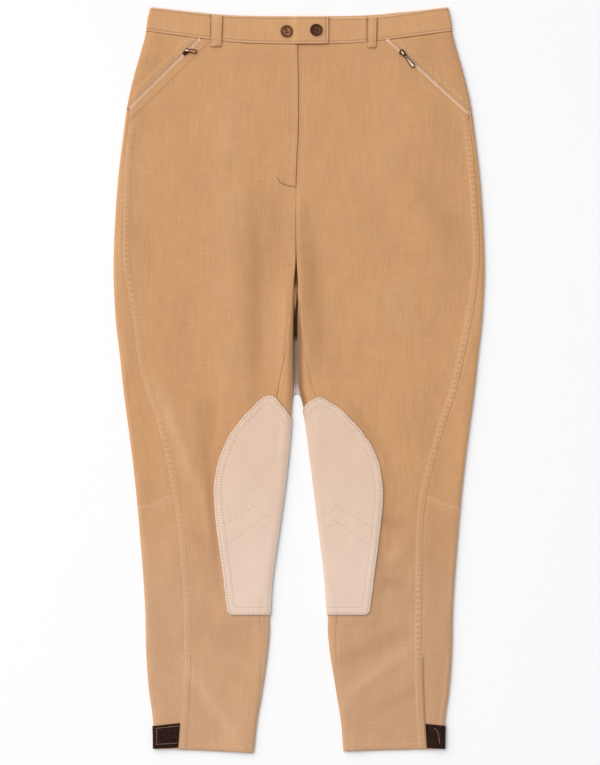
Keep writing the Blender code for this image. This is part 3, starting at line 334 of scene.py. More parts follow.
def zip_offset(side, reach, y):
    """Distance from the line of the pocket zip, below 0 on the hip's side, and the share down it."""
    zip_line = ZIPS[side]
    run = np.array((zip_line.end_reach - zip_line.top_reach, zip_line.end_y - zip_line.top_y))
    length = math.hypot(*run)
    run /= length
    along = (reach - zip_line.top_reach) * run[0] + (y - zip_line.top_y) * run[1]
    off = (reach - zip_line.top_reach) * run[1] - (y - zip_line.top_y) * run[0]
    return off, along / length


def zip_reach(side, y):
    zip_line = ZIPS[side]
    share = (zip_line.top_y - y) / (zip_line.top_y - zip_line.end_y)
    return lerp(zip_line.top_reach, zip_line.end_reach, share)


def crease_light_and_shade(side, reach, y):
    """Painted light on the ridges of the creases and painted shade in their troughs."""
    height = crease_height(side, reach, y)
    return np.where(height < 0.0, 0.19, 0.11) * height


# Strengths of painted light and shade on the front: the pucker ladder, the shadow at the lapped edge, the
# outer fold's rim and side, and the shade in the gap between the legs.
LADDER_TONE = {RIGHT: 0.15, LEFT: 0.22}
LADDER_FADE = (-385.0, -345.0)
LAP_SHADOW_TONE = {RIGHT: 0.02, LEFT: 0.26}
RIM_TONE = 0.22
SIDE_TONE = 0.09
SIDE_FADE = (330.0, 250.0)
GAP_SHADE_TONE = {RIGHT: 0.42, LEFT: 0.74}
GAP_SHADE_WIDE = {RIGHT: 6.0, LEFT: 10.0}
BAND_END_REACH = 38.5


def seam_tone(side, reach, y):
    """The side seam is paler along its two rows, with painted light and shade on the puckers between them
    above the slit and a painted shadow at the lapped edge.
    """
    inside_seam = side_seam[side](y) - reach
    strip = clamped((inside_seam - SEAM_ROWS[0]) / (SEAM_ROWS[1] - SEAM_ROWS[0]))
    ladder = (0.04 + LADDER_TONE[side] * puckers(y, side)) * between(y, *LADDER_FADE)
    tone = np.sin(math.pi * strip) ** 0.5 * (0.04 + ladder)
    for row in SEAM_ROWS:
        tone += 0.13 * between(np.abs(inside_seam - row), 1.2, 0.3)
    return (tone - LAP_SHADOW_TONE[side] * between(inside_seam, 1.5, 0.3)) * between(y, *SEAM_FADE)


def pocket_tone(side, reach, y):
    """Painted light and shade on the puckers of the strip between the rows of the pocket's hip welt."""
    off, share = zip_offset(side, reach, y)
    near_row, far_row = WELT_ROWS["hip"][1:]
    strip = clamped((-off - near_row) / (far_row - near_row))
    wear_and_light = 0.06 + 0.12 * puckers(WELT_LENGTH * share, WELT_SHIFT)
    return np.sin(math.pi * strip) * wear_and_light * between(share, 1.04, 0.98)


def gap_shade(side, y):
    """Strength of the painted shade where the legs nearly touch below the crotch."""
    return GAP_SHADE_TONE[side] * between(y, 118.0, 70.0) * between(y, -70.0, -20.0)


def edge_tone(side, reach, y):
    """Painted shade at the inner fold and under the band and its end, and painted light and shade on the
    outer fold: a lighter rim and a darker strip further in on the left leg, the other way round on the right.
    """
    fold_reach, _, _, _ = inner_fold(side, y)
    wide = lerp(SEAT_FOLD_WIDE, GAP_SHADE_WIDE[side], between(y, 100.0, 40.0))
    from_outer = outer_fold(y) - reach
    turned_away = SIDE_TONE * between(from_outer, 14.0, 1.0) * between(y, *SIDE_FADE)
    under_end = 0.45 * (side == LEFT) * between(reach, BAND_END_REACH, BAND_END_REACH - 2.0)
    tone = side * (RIM_TONE * between(from_outer, 2.2, 0.4) - turned_away)
    tone -= gap_shade(side, y) * between(reach - fold_reach, wide, 0.5)
    return tone - (0.30 + under_end) * between(band_lower(reach) - y, 2.2, 0.3)


def centre_tone(side, reach, y):
    """Painted shade in the groove of the fly's turned end, beside the fly's edge and along the centre seam
    below it.
    """
    from_centre = reach - across_centre(side, y)
    # Painted shade along the centre seam, deeper lower down.
    drawn = between(y, 226.0, 206.0) * (0.26 + 0.44 * between(y, 190.0, 160.0))
    tone = -drawn * between(from_centre, 1.7, 0.4)
    if side == RIGHT:
        near, away = fly_curve_distance(reach, y)
        tone[near] -= 0.60 * np.exp(-((away / 0.75) ** 2))
        return tone
    shaded = 0.16 * between(from_centre, 1.8, 0.4) + 0.12 * between(from_centre, 6.0, 0.5)
    return tone - shaded * between(y, 246.0, 256.0)


def front_light_shade_tone(side, reach, y):
    """Tone of the front cloth, above 0 painted paler and below 0 painted deeper: painted light and shade of
    creases, seams, folds, edges and the gap between the legs, and paler seam rows.
    """
    reach, y = paired(reach, y)
    tone = crease_light_and_shade(side, reach, y) + 0.03 * slack(side, reach, y)
    for share_of in (seam_tone, pocket_tone, edge_tone, centre_tone):
        tone += share_of(side, reach, y)
    # Painted highlight on the hem's lip.
    tone += 0.30 * between(above_hem(side, reach, y), *HEM_EDGE)
    # Painted shade over two broad areas of the left leg.
    if side == LEFT:
        tone -= 0.055 * between(reach, 110.0, 190.0) * between(y, 20.0, 140.0)
        tone -= 0.06 * between(reach, 60.0, 100.0) * between(y, -100.0, -200.0)
    return tone


def fly_curve_distance(reach, y):
    """Which places are near the turned end of the fly stitching, and how far off it those are."""
    from_centre = reach - across_centre(RIGHT, y)
    turned = np.stack(fly_turn(np.linspace(0.0, 1.0, 24)), axis=1)
    near = (y > FLY_BOTTOM_Y - 8.0) & (y < FLY_BOTTOM_Y + 20.0) & (from_centre < FLY_WIDTH + 8.0)
    return near, nearest(np.stack((from_centre[near], y[near]), axis=1), turned)


# Where the painted highlight on the hem's lip runs, up from the hem.
HEM_EDGE = (1.9, 0.6)


def hem_slant(side, reach):
    """The hem climbs outward from its lowest place by the inner fold."""
    return HEM_RISE[side] * (reach - HEM_LOW_REACH) / HEM_RUN


def above_hem(side, reach, y):
    return y - HEM_Y[side] - hem_slant(side, reach)


def fly_turn(share):
    """Reach from the centre line and y of the lower end of the fly stitching, from its outer end inward."""
    angle = 0.5 * math.pi * share
    return FLY_WIDTH * np.cos(angle) ** 1.3, FLY_BOTTOM_Y + 11.5 * (1.0 - np.sin(angle)) ** 1.2


def sewn_height(side, reach, y):
    """Rise and relief of lapped seams, hems, pocket welts, the fly and the cloth taken into the band."""
    inside_seam = side_seam[side](y) - reach
    lap = np.where(y < SLIT_TOP_Y, 0.7, 0.45) * between(y, 336.0, 318.0)
    strip = sewn_strip(inside_seam, y, SEAM_ROWS, side) * between(y, *SEAM_FADE)
    rise = np.where(inside_seam > -0.01, lap * between(inside_seam, 10.5, 8.0) + strip, 0.0)

    off, share = zip_offset(side, reach, y)
    welt = between(np.abs(off), ZIP_WELT_WIDTH + 1.5, ZIP_WELT_WIDTH - 0.5) * between(share, 1.06, 0.98)
    on_hip = sewn_strip(-off, WELT_LENGTH * share, WELT_ROWS["hip"][1:], WELT_SHIFT)
    from_row = off - WELT_ROWS["front"][0]
    on_front = 0.22 * np.exp(-((from_row / 2.0) ** 2)) + groove(from_row)
    sewn = np.where(off < 0.0, on_hip, on_front) * between(share, 1.06, 1.0)
    rise = np.maximum(rise, ZIP_WELT_RISE * welt) + sewn
    rise += 0.8 * between(y, 405.0, 428.0)

    hem = above_hem(side, reach, y)
    rise += 0.25 * between(hem, HEM_STITCH + 2.5, HEM_STITCH) + groove(hem - HEM_STITCH, 0.15)

    if side == RIGHT:
        from_centre = reach - across_centre(side, y)
        rise += 0.4 * between(from_centre, 8.0, 4.0) * between(y, 240.0, 262.0)
        flap = between(from_centre, FLY_WIDTH + 1.5, FLY_WIDTH - 1.5)
        flap *= between(y, FLY_BOTTOM_Y, FLY_BOTTOM_Y + 20.0)
        rise += 0.15 * flap + groove(from_centre - FLY_WIDTH, 0.06) * between(y, 262.0, 275.0)
        near, away = fly_curve_distance(reach, y)
        rise[near] += groove(away, 0.42, 0.95)
    return rise


def fold_drop(share):
    """How far a fold's round section lies below its top, by the share in from its edge."""
    return 1.0 - np.sqrt(np.maximum(1.0 - (1.0 - share) ** 2, 0.0))


def face_height(side, reach, y):
    """Height of the outer face of the front layer, folds and sewing included."""
    reach, y = paired(reach, y)
    fold_reach, fold_wide, fold_high, fold_floor = inner_fold(side, y)
    from_outer = outer_fold(y) - reach
    from_inner = reach - fold_reach
    patch = under_patch_share(side, reach, y)
    leg = between(y, 210.0, FORK_Y)
    middle = MID_HEIGHT + PATCH_RISE * patch
    at_outer = 1.0 - between(from_outer, OUTER_WIDE, OUTER_WIDE + FOLD_EASE)
    at_inner = leg * (1.0 - between(from_inner, fold_wide, fold_wide + FOLD_EASE))
    lift = (2.0 * FOLD_RADIUS - middle) * at_outer + (fold_floor + 2.0 * fold_high - middle) * at_inner
    clear = between(from_outer, OUTER_WIDE, OUTER_WIDE + 5.0)
    clear *= 1.0 - leg * (1.0 - between(from_inner, fold_wide, fold_wide + 6.0))
    relief = crease_height(side, reach, y) + slack(side, reach, y)
    height = middle + lift + clear * relief
    low = LEAST_HEIGHT + 0.5
    height = np.where(height < low, low - 0.5 * (1.0 - np.exp((height - low) / 0.5)), height)
    height = np.minimum(height + clear * sewn_height(side, reach, y), MOST_HEIGHT)

    from_centre = reach - across_centre(side, y)
    dip = between(y, 156.0, 116.0)
    dip_half = lerp(2.5, 6.0, dip)
    height -= 2.3 * dip * between(y, 97.0, 116.0) * between(from_centre, dip_half, 0.0)

    drop = FOLD_RADIUS * fold_drop(from_outer / OUTER_WIDE)
    height = np.where(from_outer < OUTER_WIDE, height - drop, height)
    drop = fold_high * fold_drop(from_inner / fold_wide)
    return np.where(from_inner < fold_wide, height - drop * between(y, 116.0, 97.0), height)


def face(side, reach, y, depth):
    """Reach and height of a point sunk by depth below the outer face of the front layer."""
    step = 0.05
    slope = (face_height(side, reach + step, y) - face_height(side, reach - step, y)) / (2.0 * step)
    tilt = np.sqrt(1.0 + slope**2)
    return reach + depth * slope / tilt, face_height(side, reach, y) - depth / tilt


def station_at(side, reach, y):
    """Station of a place on the front face: 2 by the outer fold, 3 by the inner one."""
    fold_reach, fold_wide, _, _ = inner_fold(side, y)
    start = outer_fold(y) - OUTER_WIDE
    return 2.0 + (start - reach) / (start - fold_reach - fold_wide)


def skin(side, y, station, depth):
    """Reach and height of a point on one leg's section, sunk by depth below its outer face.

    Stations run 0 to 1 outward under the leg, 1 to 2 round the outer fold, 2 to 3 back over the front
    face and 3 to 4 round the inner fold. They repeat after 4, so -1 to 0 is the inner fold too.
    """
    fold_reach, fold_wide, fold_high, fold_floor = inner_fold(side, y)
    out = outer_fold(y) - OUTER_WIDE
    inn = fold_reach + fold_wide
    turn = np.mod(station, 4.0)
    share = np.mod(turn, 1.0)
    angle = math.pi * (share - 0.5)
    under = lerp(inn, out, share)
    face_reach, face_z = face(side, lerp(out, inn, share), y, depth)
    quarter = np.floor(turn).astype(int)
    round_outer = out + (OUTER_WIDE - depth) * np.cos(angle)
    round_inner = inn - (fold_wide - depth) * np.cos(angle)
    heights = (
        floor_height(side, under, y) + depth,
        FOLD_RADIUS + (FOLD_RADIUS - depth) * np.sin(angle),
        face_z,
        fold_floor + fold_high - (fold_high - depth) * np.sin(angle),
    )
    reach = np.choose(quarter, (under, round_outer, face_reach, round_inner))
    return reach, np.choose(quarter, heights)


BAND_LAP = 0.8


def arch_rise(arch, reach):
    past = np.abs(reach) - arch.start
    return arch.slope * (past + np.sqrt(past**2 + arch.bend**2))


def band_lower(reach):
    """The lower edge of the band on the front."""
    return WAIST_SEAM_Y + BAND_LAP + arch_rise(SEAM_ARCH, reach)


def settle(side, reach, y):
    """Moves a level row to the arched waist seam and the slanting hem."""
    waist = arch_rise(SEAM_ARCH, reach) * between(y, 270.0, WAIST_SEAM_Y)
    return y + waist + hem_slant(side, reach) * between(y, -400.0, -480.0)


def edge_roll(distance):
    """How far a turned-in edge rolls down, by the distance from it."""
    return EDGE_ROLL * (1.0 - clamped(distance / EDGE_ROLL_WIDTH)) ** 2


def fold_arc(inset, wide):
    """Length round a fold from its underside to a place on the upper face, by that place's inset."""
    turned = np.arccos(np.clip(1.0 - inset / wide, -1.0, 1.0))
    return np.where(inset < wide, wide * (0.5 * math.pi + turned), math.pi * wide + inset - wide)


def inner_station(side, y, arc):
    fold_reach, wide, _, _ = inner_fold(side, y)
    on_fold = -clamped(arc / (math.pi * wide))
    on_face = station_at(side, fold_reach + wide + arc - math.pi * wide, y) - 4.0
    return np.where(arc <= math.pi * wide, on_fold, on_face)


def outer_station(side, y, arc):
    on_fold = 1.0 + clamped(arc / (math.pi * OUTER_WIDE))
    out = outer_fold(y) - OUTER_WIDE
    on_face = station_at(side, out - (arc - math.pi * OUTER_WIDE), y)
    return np.where(arc <= math.pi * OUTER_WIDE, on_fold, on_face)


def mesh_of(name, shaped):
    """The mesh of a finished bmesh."""
    mesh = bpy.data.meshes.new(name)
    shaped.to_mesh(mesh)
    shaped.free()
    return mesh


def put_down(name, data):
    """Links a new object to the scene."""
    made = bpy.data.objects.new(name, data)
    bpy.context.collection.objects.link(made)
    return made


def add_piece(name, mesh, slot, *nodes, body=GARMENT):
    """Puts a finished mesh in the scene, riding with its body in place of the named solids."""
    made = put_down(name, mesh)
    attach(made, body)
    if nodes:
        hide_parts(*nodes)
    return made


def cloth_grid(name, columns, rows, shape, faces_up, paint):
    """Shell of one cut piece. shape(u, v) gives x, y, z and, where light and shade are painted, a tone.

    A UV map in metres follows the threads. The tone is above 0 where the colour is painted paler and below 0
    where it is painted deeper, as painted light and shade.
    """
    shaped = bmesh.new()
    bmesh.ops.create_grid(shaped, x_segments=columns, y_segments=rows, size=0.5)
    mesh = mesh_of(name, shaped)
    corners = np.empty(3 * len(mesh.vertices))
    mesh.vertices.foreach_get("co", corners)
    u, v = corners.reshape(-1, 3)[:, :2].T + 0.5
    *place, tone = (*shape(u, v), 0.0)[:4]
    points = np.stack(np.broadcast_arrays(*place), axis=1)
    mesh.vertices.foreach_set("co", (points * MM).ravel())
    tones = np.ascontiguousarray(np.broadcast_to(tone, u.shape), dtype=np.float32)
    mesh.attributes.new("tone", "FLOAT", "POINT").data.foreach_set("value", tones)

    order = np.lexsort((np.rint(u * columns), np.rint(v * rows)))
    grid = points[order].reshape(rows + 1, columns + 1, 3)
    steps = np.linalg.norm(np.diff(grid, axis=1), axis=2)
    run = np.hstack((np.zeros((rows + 1, 1)), np.cumsum(steps, axis=1)))
    middle = columns // 2
    turn = np.sign(grid[:, -1:, 0] - grid[:, :1, 0] + 1e-9)
    across = grid[:, middle:middle + 1, 0] + turn * (run - run[:, middle:middle + 1])
    thread = np.empty((len(points), 2))
    thread[order] = np.stack((across, grid[..., 1]), axis=2).reshape(-1, 2) * MM
    corner_of = np.empty(len(mesh.loops), int)
    mesh.loops.foreach_get("vertex_index", corner_of)
    mesh.uv_layers.new(name="threads").data.foreach_set("uv", thread[corner_of].ravel())

    mesh.update()
    tilts = np.empty(3 * len(mesh.polygons))
    middles = np.empty(3 * len(mesh.polygons))
    mesh.polygons.foreach_get("normal", tilts)
    mesh.polygons.foreach_get("center", middles)
    height = middles[2::3]
    outermost = height >= np.quantile(height, 0.8) if faces_up else height <= np.quantile(height, 0.2)
    if (tilts[2::3][outermost].mean() > 0.0) != faces_up:
        mesh.flip_normals()
    mesh.shade_smooth()
    mesh.materials.append(paint)
    return mesh


def cloth_piece(shell, thickness, slot, node):
    """Puts a shell in place of its solid and gives it a wall, inward from the face that shows."""
    made = add_piece(shell.name, shell, slot, node)
    wall = made.modifiers.new("wall", "SOLIDIFY")
    wall.thickness = thickness * MM
    wall.offset = -1.0
    wall.use_quality_normals = True
    return made


class Wire:
    """A shader socket that takes part in Python arithmetic; each operation adds one Math node."""

    def __init__(self, paint, socket):
        self.paint = paint
        self.socket = socket

    def math(self, operation, *others):
        return self.paint.node("ShaderNodeMath", {"operation": operation}, (self, *others))

    def __add__(self, other):
        return self.math("ADD", other)

    def __mul__(self, other):
        return self.math("MULTIPLY", other)

    __radd__ = __add__
    __rmul__ = __mul__


class Paint:
    """A material being wired to its Principled shader."""

    def __init__(self, name, **shader_values):
        self.material = bpy.data.materials.new(name)
        self.material.use_nodes = True
        self.tree = self.material.node_tree
        self.shader = self.tree.nodes["Principled BSDF"]
        for socket, value in shader_values.items():
            self.shader.inputs[socket.replace("_", " ")].default_value = value

    def link(self, value, socket):
        if isinstance(value, Wire):
            self.tree.links.new(value.socket, socket)
        elif value is not None:
            socket.default_value = value

    def node(self, kind, settings, values, output=0):
        """Any node: its settings first, then what goes into its sockets, by place or by name."""
        made = self.tree.nodes.new(kind)
        for setting, value in settings.items():
            setattr(made, setting, value)
        named = values.items() if isinstance(values, dict) else enumerate(values)
        for socket, value in named:
            self.link(value, made.inputs[socket])
        return Wire(self, made.outputs[output])

    def threads(self):
        return self.node("ShaderNodeUVMap", {"uv_map": "threads"}, {})

    def place(self):
        return self.node("ShaderNodeTexCoord", {}, {}, "Object")

    def tone(self):
        return self.node("ShaderNodeAttribute", {"attribute_name": "tone"}, {}, "Fac")

    def part_of(self, vector, axis):
        return self.node("ShaderNodeSeparateXYZ", {}, (vector,), axis)

    def noise(self, vector, scale, detail=2.0, stretch=(1.0, 1.0, 1.0), roughness=0.5):
        """Noise with this many features a metre, stretched along the axes."""
        spread = self.node("ShaderNodeMapping", {}, {"Vector": vector, "Scale": [scale / s for s in stretch]})
        values = {"Vector": spread, "Scale": 1.0, "Detail": detail, "Roughness": roughness}
        return self.node("ShaderNodeTexNoise", {}, values)

    def ramp(self, value, low, high):
        """0 at low and 1 at high, clamped."""
        values = {"Value": value, "From Min": low, "From Max": high}
        return self.node("ShaderNodeMapRange", {"interpolation_type": "SMOOTHSTEP"}, values)

    def blend(self, share, first, second):
        """A colour between two colours."""
        colours = [value if isinstance(value, Wire) else (*value, 1.0) for value in (first, second)]
        settings = {"data_type": "RGBA", "blend_type": "MIX"}
        return self.node("ShaderNodeMix", settings, {0: share, 6: colours[0], 7: colours[1]}, 2)

    def finish(self, height=None, distance=0.0, **wires):
        """Links what varies over the surface, and a bump of this height in metres."""
        for socket, wire in wires.items():
            self.link(wire, self.shader.inputs[socket.replace("_", " ")])
        if height is not None:
            values = {"Strength": 1.0, "Distance": distance, "Height": height}
            self.link(self.node("ShaderNodeBump", {}, values), self.shader.inputs["Normal"])
        return self.material


# The first two and last three colours here are painted highlight, shade and shadow; the red-brown is the
# cloth's own blush.
HIGHLIGHT_TAN = (0.84, 0.56, 0.37)
SHADE_BROWN = (0.17, 0.070, 0.028)
RED_BROWN = (0.58, 0.270, 0.145)
SHADOW_BLACK = (0.024, 0.010, 0.005)
HALF_LIGHT = (0.205, 0.145, 0.118)
TABLE_SHADOW_GREY = (0.70, 0.60, 0.575)
TWILL_LINE = 0.0011


def twill_paint(name, tan, deep, calf, calf_deep):
    """Fine twill: uneven yarns both ways, a diagonal line in the weave, and colour that drifts a little.

    Below the knee the cloth is washed paler, so a second pair of colours takes over there. The tone paints
    light and shade: 1 is a painted highlight, -1 a deep brown painted shade and -2 a near-black painted
    shadow;
    from there it turns to a grey half-light, the painted shadow on the table, paler by -4.
    """
    paint = Paint(name, Roughness=0.88, Sheen_Weight=0.10, Sheen_Roughness=0.5, Specular_IOR_Level=0.15)
    threads = paint.threads()
    place = paint.place()
    warp = paint.noise(threads, 560.0, 3.0, (1.0, 34.0, 1.0), 0.65)
    weft = paint.noise(threads, 520.0, 2.0, (14.0, 1.0, 1.0))
    yarns = warp * 0.68 + weft * 0.32
    drift = paint.noise(place, 13.0, 3.0, (1.0, 1.7, 1.0))
    blotch = paint.noise(place, 95.0, 3.0, (1.0, 2.2, 1.0))
    speckle = paint.noise(threads, 300.0, 4.0)
    share = paint.ramp(yarns * 0.48 + drift * 0.10 + blotch * 0.18 + speckle * 0.24, 0.375, 0.625)
    low = paint.ramp(paint.part_of(place, "Y"), -0.10, -0.30)
    colour = paint.blend(low, paint.blend(share, deep, tan), paint.blend(share, calf_deep, calf))
    blush = paint.ramp(paint.noise(place, 30.0, 3.0, (1.0, 1.6, 1.0)), 0.42, 0.78)
    colour = paint.blend(blush * 0.12, colour, RED_BROWN)
    tone = paint.tone()
    # Painted highlight above 0 and painted shade below 0, then painted shadow and the table's shaded grey.
    colour = paint.blend(tone.math("MAXIMUM", 0.0), colour, HIGHLIGHT_TAN)
    colour = paint.blend((tone * -1.0).math("MAXIMUM", 0.0), colour, SHADE_BROWN)
    for start, shade in ((-1.0, SHADOW_BLACK), (-2.0, HALF_LIGHT), (-3.0, TABLE_SHADOW_GREY)):
        colour = paint.blend(paint.ramp(tone, start, start - 1.0), colour, shade)
    across = paint.part_of(threads, "X")
    along = paint.part_of(threads, "Y")
    line = ((across + along) * (math.tau / TWILL_LINE)).math("SINE")
    weave = line * 0.12 + yarns * 0.9 + speckle * 0.3
    return paint.finish(weave, 0.00012, Base_Color=colour, Roughness=0.82 + speckle * 0.12)


CALF_COLOURS = ((0.582, 0.341, 0.193), (0.515, 0.296, 0.164))
cotton = twill_paint("cotton_twill", (0.592, 0.321, 0.151), (0.515, 0.272, 0.126), *CALF_COLOURS)

THREAD_PITCH = 2.7
THREAD_LENGTH = 1.9
THREAD_LIFT = 0.12
HOLE_LIFT = 0.02
HOLE_RISE = 0.3


def resampled(points, tops, pitch):
    """Places every pitch along a line, the directions there, and the ways up from the cloth."""
    steps = np.linalg.norm(np.diff(points, axis=0), axis=1)
    run = np.hstack((0.0, np.cumsum(steps)))
    count = max(int(run[-1] / pitch), 1)
    at = (np.arange(2 * count) + 0.5) * run[-1] / (2 * count)

    def along_line(line, where):
        return np.stack([np.interp(where, run, axis) for axis in line.T], axis=1)

    place = along_line(points, at)
    ahead = along_line(points, at + 0.5) - along_line(points, at - 0.5)
    ahead /= np.linalg.norm(ahead, axis=1)[:, None]
    across = np.cross(along_line(tops, at) - place, ahead)
    across /= np.linalg.norm(across, axis=1)[:, None]
    return place, ahead, across, np.cross(ahead, across)


def beads(name, groups, slot):
    """Many little rounded beads as one piece.

    A group is (paint, places, three axes of full sizes); axes are arrays of vectors in millimetres.
    """
    seed = bmesh.new()
    bmesh.ops.create_icosphere(seed, subdivisions=1, radius=0.5)
    ball = np.array([corner.co[:] for corner in seed.verts])
    facets = np.array([[corner.index for corner in facet.verts] for facet in seed.faces])
    seed.free()
    places = np.vstack([group[1] for group in groups])
    axes = np.stack([np.vstack([group[2][axis] for group in groups]) for axis in range(3)], axis=1)
    corners = places[:, None, :] + np.einsum("bi,nij->nbj", ball, axes)
    rings = facets[None, :, :] + len(ball) * np.arange(len(places))[:, None, None]
    mesh = bpy.data.meshes.new(name)
    mesh.from_pydata((corners.reshape(-1, 3) * MM).tolist(), [], rings.reshape(-1, 3).tolist())
    for paint, _, _ in groups:
        if paint.name not in mesh.materials:
            mesh.materials.append(paint)
    marks = [np.full(len(group[1]) * len(facets), mesh.materials.find(group[0].name)) for group in groups]
    mesh.polygons.foreach_set("material_index", np.hstack(marks))
    mesh.shade_smooth()
    return add_piece(name, mesh, slot)


def stitches(
    name, lines, paint, slot, pitch=THREAD_PITCH, length=THREAD_LENGTH, width=0.7, rise=0.5, hole=0.9
):
    """Rows of stitches with a dark bead after each, painted as the shade in its needle hole; a line is
    (points, tops) on the cloth and above it.
    """
    groups = []
    for points, tops in lines:
        place, ahead, across, up = resampled(points, tops, pitch)
        sewn, pierced = slice(0, None, 2), slice(1, None, 2)
        axes = (ahead[sewn] * length, across[sewn] * width, up[sewn] * rise)
        groups.append((paint, place[sewn] + THREAD_LIFT * up[sewn], axes))
        if hole:
            axes = (ahead[pierced] * hole, across[pierced] * hole, up[pierced] * HOLE_RISE)
            groups.append((paint.get("holes", needle_hole), place[pierced] + HOLE_LIFT * up[pierced], axes))
    return beads(name, groups, slot)


def thread_paint(name, light, dark):
    paint = Paint(name, Roughness=0.7, Sheen_Weight=0.1)
    ply = paint.noise(paint.place(), 900.0, 2.0)
    return paint.finish(ply, 0.00005, Base_Color=paint.blend(ply, dark, light))


tan_thread = thread_paint("tan_thread", (0.80, 0.54, 0.34), (0.62, 0.37, 0.20))
# Dark beads painted as the shade in the needle holes.
needle_hole = thread_paint("needle_hole", (0.23, 0.105, 0.050), (0.15, 0.065, 0.030))
pale_thread = thread_paint("pale_thread", (0.90, 0.67, 0.46), (0.76, 0.51, 0.32))
# Its holes are dark beads painted as the shade in the needle holes.
pale_thread["holes"] = thread_paint("pale_hole", (0.40, 0.21, 0.10), (0.31, 0.155, 0.075))


def with_tops(x, y, z):
    """A line of stitches from its points, and the same line 1 mm higher."""
    return [np.stack(np.broadcast_arrays(x, y, z + up), axis=1) for up in (0.0, 1.0)]


def on_skin(side, station, y):
    """Points of a line on a leg's section, and 1 mm above them."""
    station, y = paired(station, y)
    places = [skin(side, y, station, depth) for depth in (0.0, -1.0)]
    return [np.stack((side * reach, y, z), axis=1) for reach, z in places]


def on_face(side, reach, y):
    """Points of a line on the front face, and 1 mm above them."""
    reach, y = paired(reach, y)
    places = [face(side, reach, y, depth) for depth in (0.0, -1.0)]
    return [np.stack((side * moved, y, z), axis=1) for moved, z in places]


INNER_PART, UNDER_PART, OUTER_PART = 0.20, 0.52, 0.97
HIP_FREE_ARC = 0.49 * math.pi * OUTER_WIDE
CALF_ROWS_UP = (1.4, 4.9)
CALF_SEAM_REACH = 95.0
LitFold = namedtuple("LitFold", "station tone top_y")
# Painted light on one fold of each leg: where on its section, how strong, and the height above which it fades
# out.
LIT_FOLD = {RIGHT: LitFold(3.5, 0.42, 0.0), LEFT: LitFold(1.5, 0.80, 300.0)}


def back_tone(side, reach, y, turned, above_seam):
    """Painted shade in the gap and beside the left slit, painted light on one fold of each leg and on the
    hem's lip, painted light and shade on the creases and the outer fold's side, and paler rows above the calf
    seam.
    """
    lit_fold = LIT_FOLD[side]
    tone = -gap_shade(side, y) * between(np.abs(turned - 3.5), 0.5, 0.3)
    at_fold = between(np.abs(turned - lit_fold.station), 0.44, 0.05)
    tone += lit_fold.tone * at_fold * between(y, lit_fold.top_y + 60.0, lit_fold.top_y - 30.0)
    turned_away = SIDE_TONE * between(outer_fold(y) - reach, 14.0, 1.0) * between(y, *SIDE_FADE)
    tone -= side * turned_away * (turned > 1.8)
    tone += crease_light_and_shade(side, reach, y) * (turned > 1.5)
    tone += 0.45 * between(above_hem(side, reach, y), *HEM_EDGE)
    for row in CALF_ROWS_UP:
        tone += 0.20 * between(np.abs(above_seam - row), 1.3, 0.4) * (turned > 1.2)
    tone += 0.08 * between(np.abs(above_seam), 7.0, 1.0) * (turned > 1.2)
    # Painted shade beside the left leg's slit.
    if side == LEFT:
        beside_slit = np.abs(reach - side_seam[side](y) - 1.0)
        tone -= 0.5 * between(beside_slit, 1.8, 0.6) * between(y, SLIT_TOP_Y + 4.0, SLIT_TOP_Y - 6.0)
    return tone


def back_shape(side, top_y, bottom_y, seam_y):
    """Shape of the wrapped piece between two nominal rows; u runs from the inseam round to the side seam."""

    def shape(u, v):
        rows = lerp(bottom_y, top_y, crowded_ends(v, 0.85))
        by_inseam, by_side = u < INNER_PART, u > UNDER_PART
        y = rows
        for _ in range(3):
            _, wide, _, _ = inner_fold(side, y)
            inner_edge = fold_arc(inseam_inset(y) - 0.5 * INSEAM_GAP, wide)
            outer_inset = outer_fold(y) - side_seam[side](y) - 0.5 * PANEL_GAP
            low = between(y, HIP_END_Y[side] - 0.4, HIP_END_Y[side] - 4.5)
            outer_edge = lerp(HIP_FREE_ARC, fold_arc(outer_inset, OUTER_WIDE), low)
            inner_arc = lerp(inner_edge + ALLOWANCE, 0.0, clamped(u / INNER_PART))
            outer_run = clamped((u - UNDER_PART) / (OUTER_PART - UNDER_PART))
            spare = ALLOWANCE * low * clamped((u - OUTER_PART) / (1.0 - OUTER_PART))
            outer_arc = outer_edge * outer_run + spare
            under = np.clip((u - INNER_PART) / (UNDER_PART - INNER_PART), 0.0, 0.9999)
            stations = np.where(by_side, outer_station(side, y, outer_arc), under)
            stations = np.where(by_inseam, inner_station(side, y, inner_arc), stations)
            near = between(np.abs(rows - seam_y), CALF_SEAM_REACH, 0.0)
            y = rows + near * (calf_seam(stations) - CALF_SEAM_Y)
            reach, _ = skin(side, y, stations, 0.0)
            y = settle(side, reach, y)
        lapped = np.maximum(np.where(by_inseam, np.maximum(inner_arc - inner_edge, 0.0), 0.0), spare)
        from_edge = np.where(by_side, outer_edge - outer_arc, 9.0)
        from_edge = np.where(by_inseam, inner_edge - inner_arc, from_edge)
        rolled = edge_roll(np.maximum(from_edge, 0.0)) * np.where(by_inseam, 0.12, 0.6)
        depth = np.where(lapped > 0.0, ALLOWANCE_SINK * between(lapped, 0.0, 1.4), rolled)
        reach, _ = skin(side, y, stations, 0.0)
        tone = back_tone(side, reach, y, np.mod(stations, 4.0), rows - seam_y)
        reach, z = skin(side, y, stations, depth)
        flat = between(y, 102.0, 118.0) * by_inseam
        inward = clamped(u / INNER_PART)
        centre_end = across_centre(side, y) + lerp(0.5 * SEAM_GAP, leg_gap(y) + 4.0, inward)
        return side * lerp(reach, centre_end, flat), y, z * (1.0 - flat), tone

    return shape


# Top of the piece, how far the strip runs below the fork where there is only shadow, and where its painted
# shade deepens.
FLOOR_TOP_Y = 176.0
FLOOR_DROP = (74.0, 86.0)
FLOOR_SHADE_Y = {RIGHT: (104.0, 80.0), LEFT: (130.0, 92.0)}


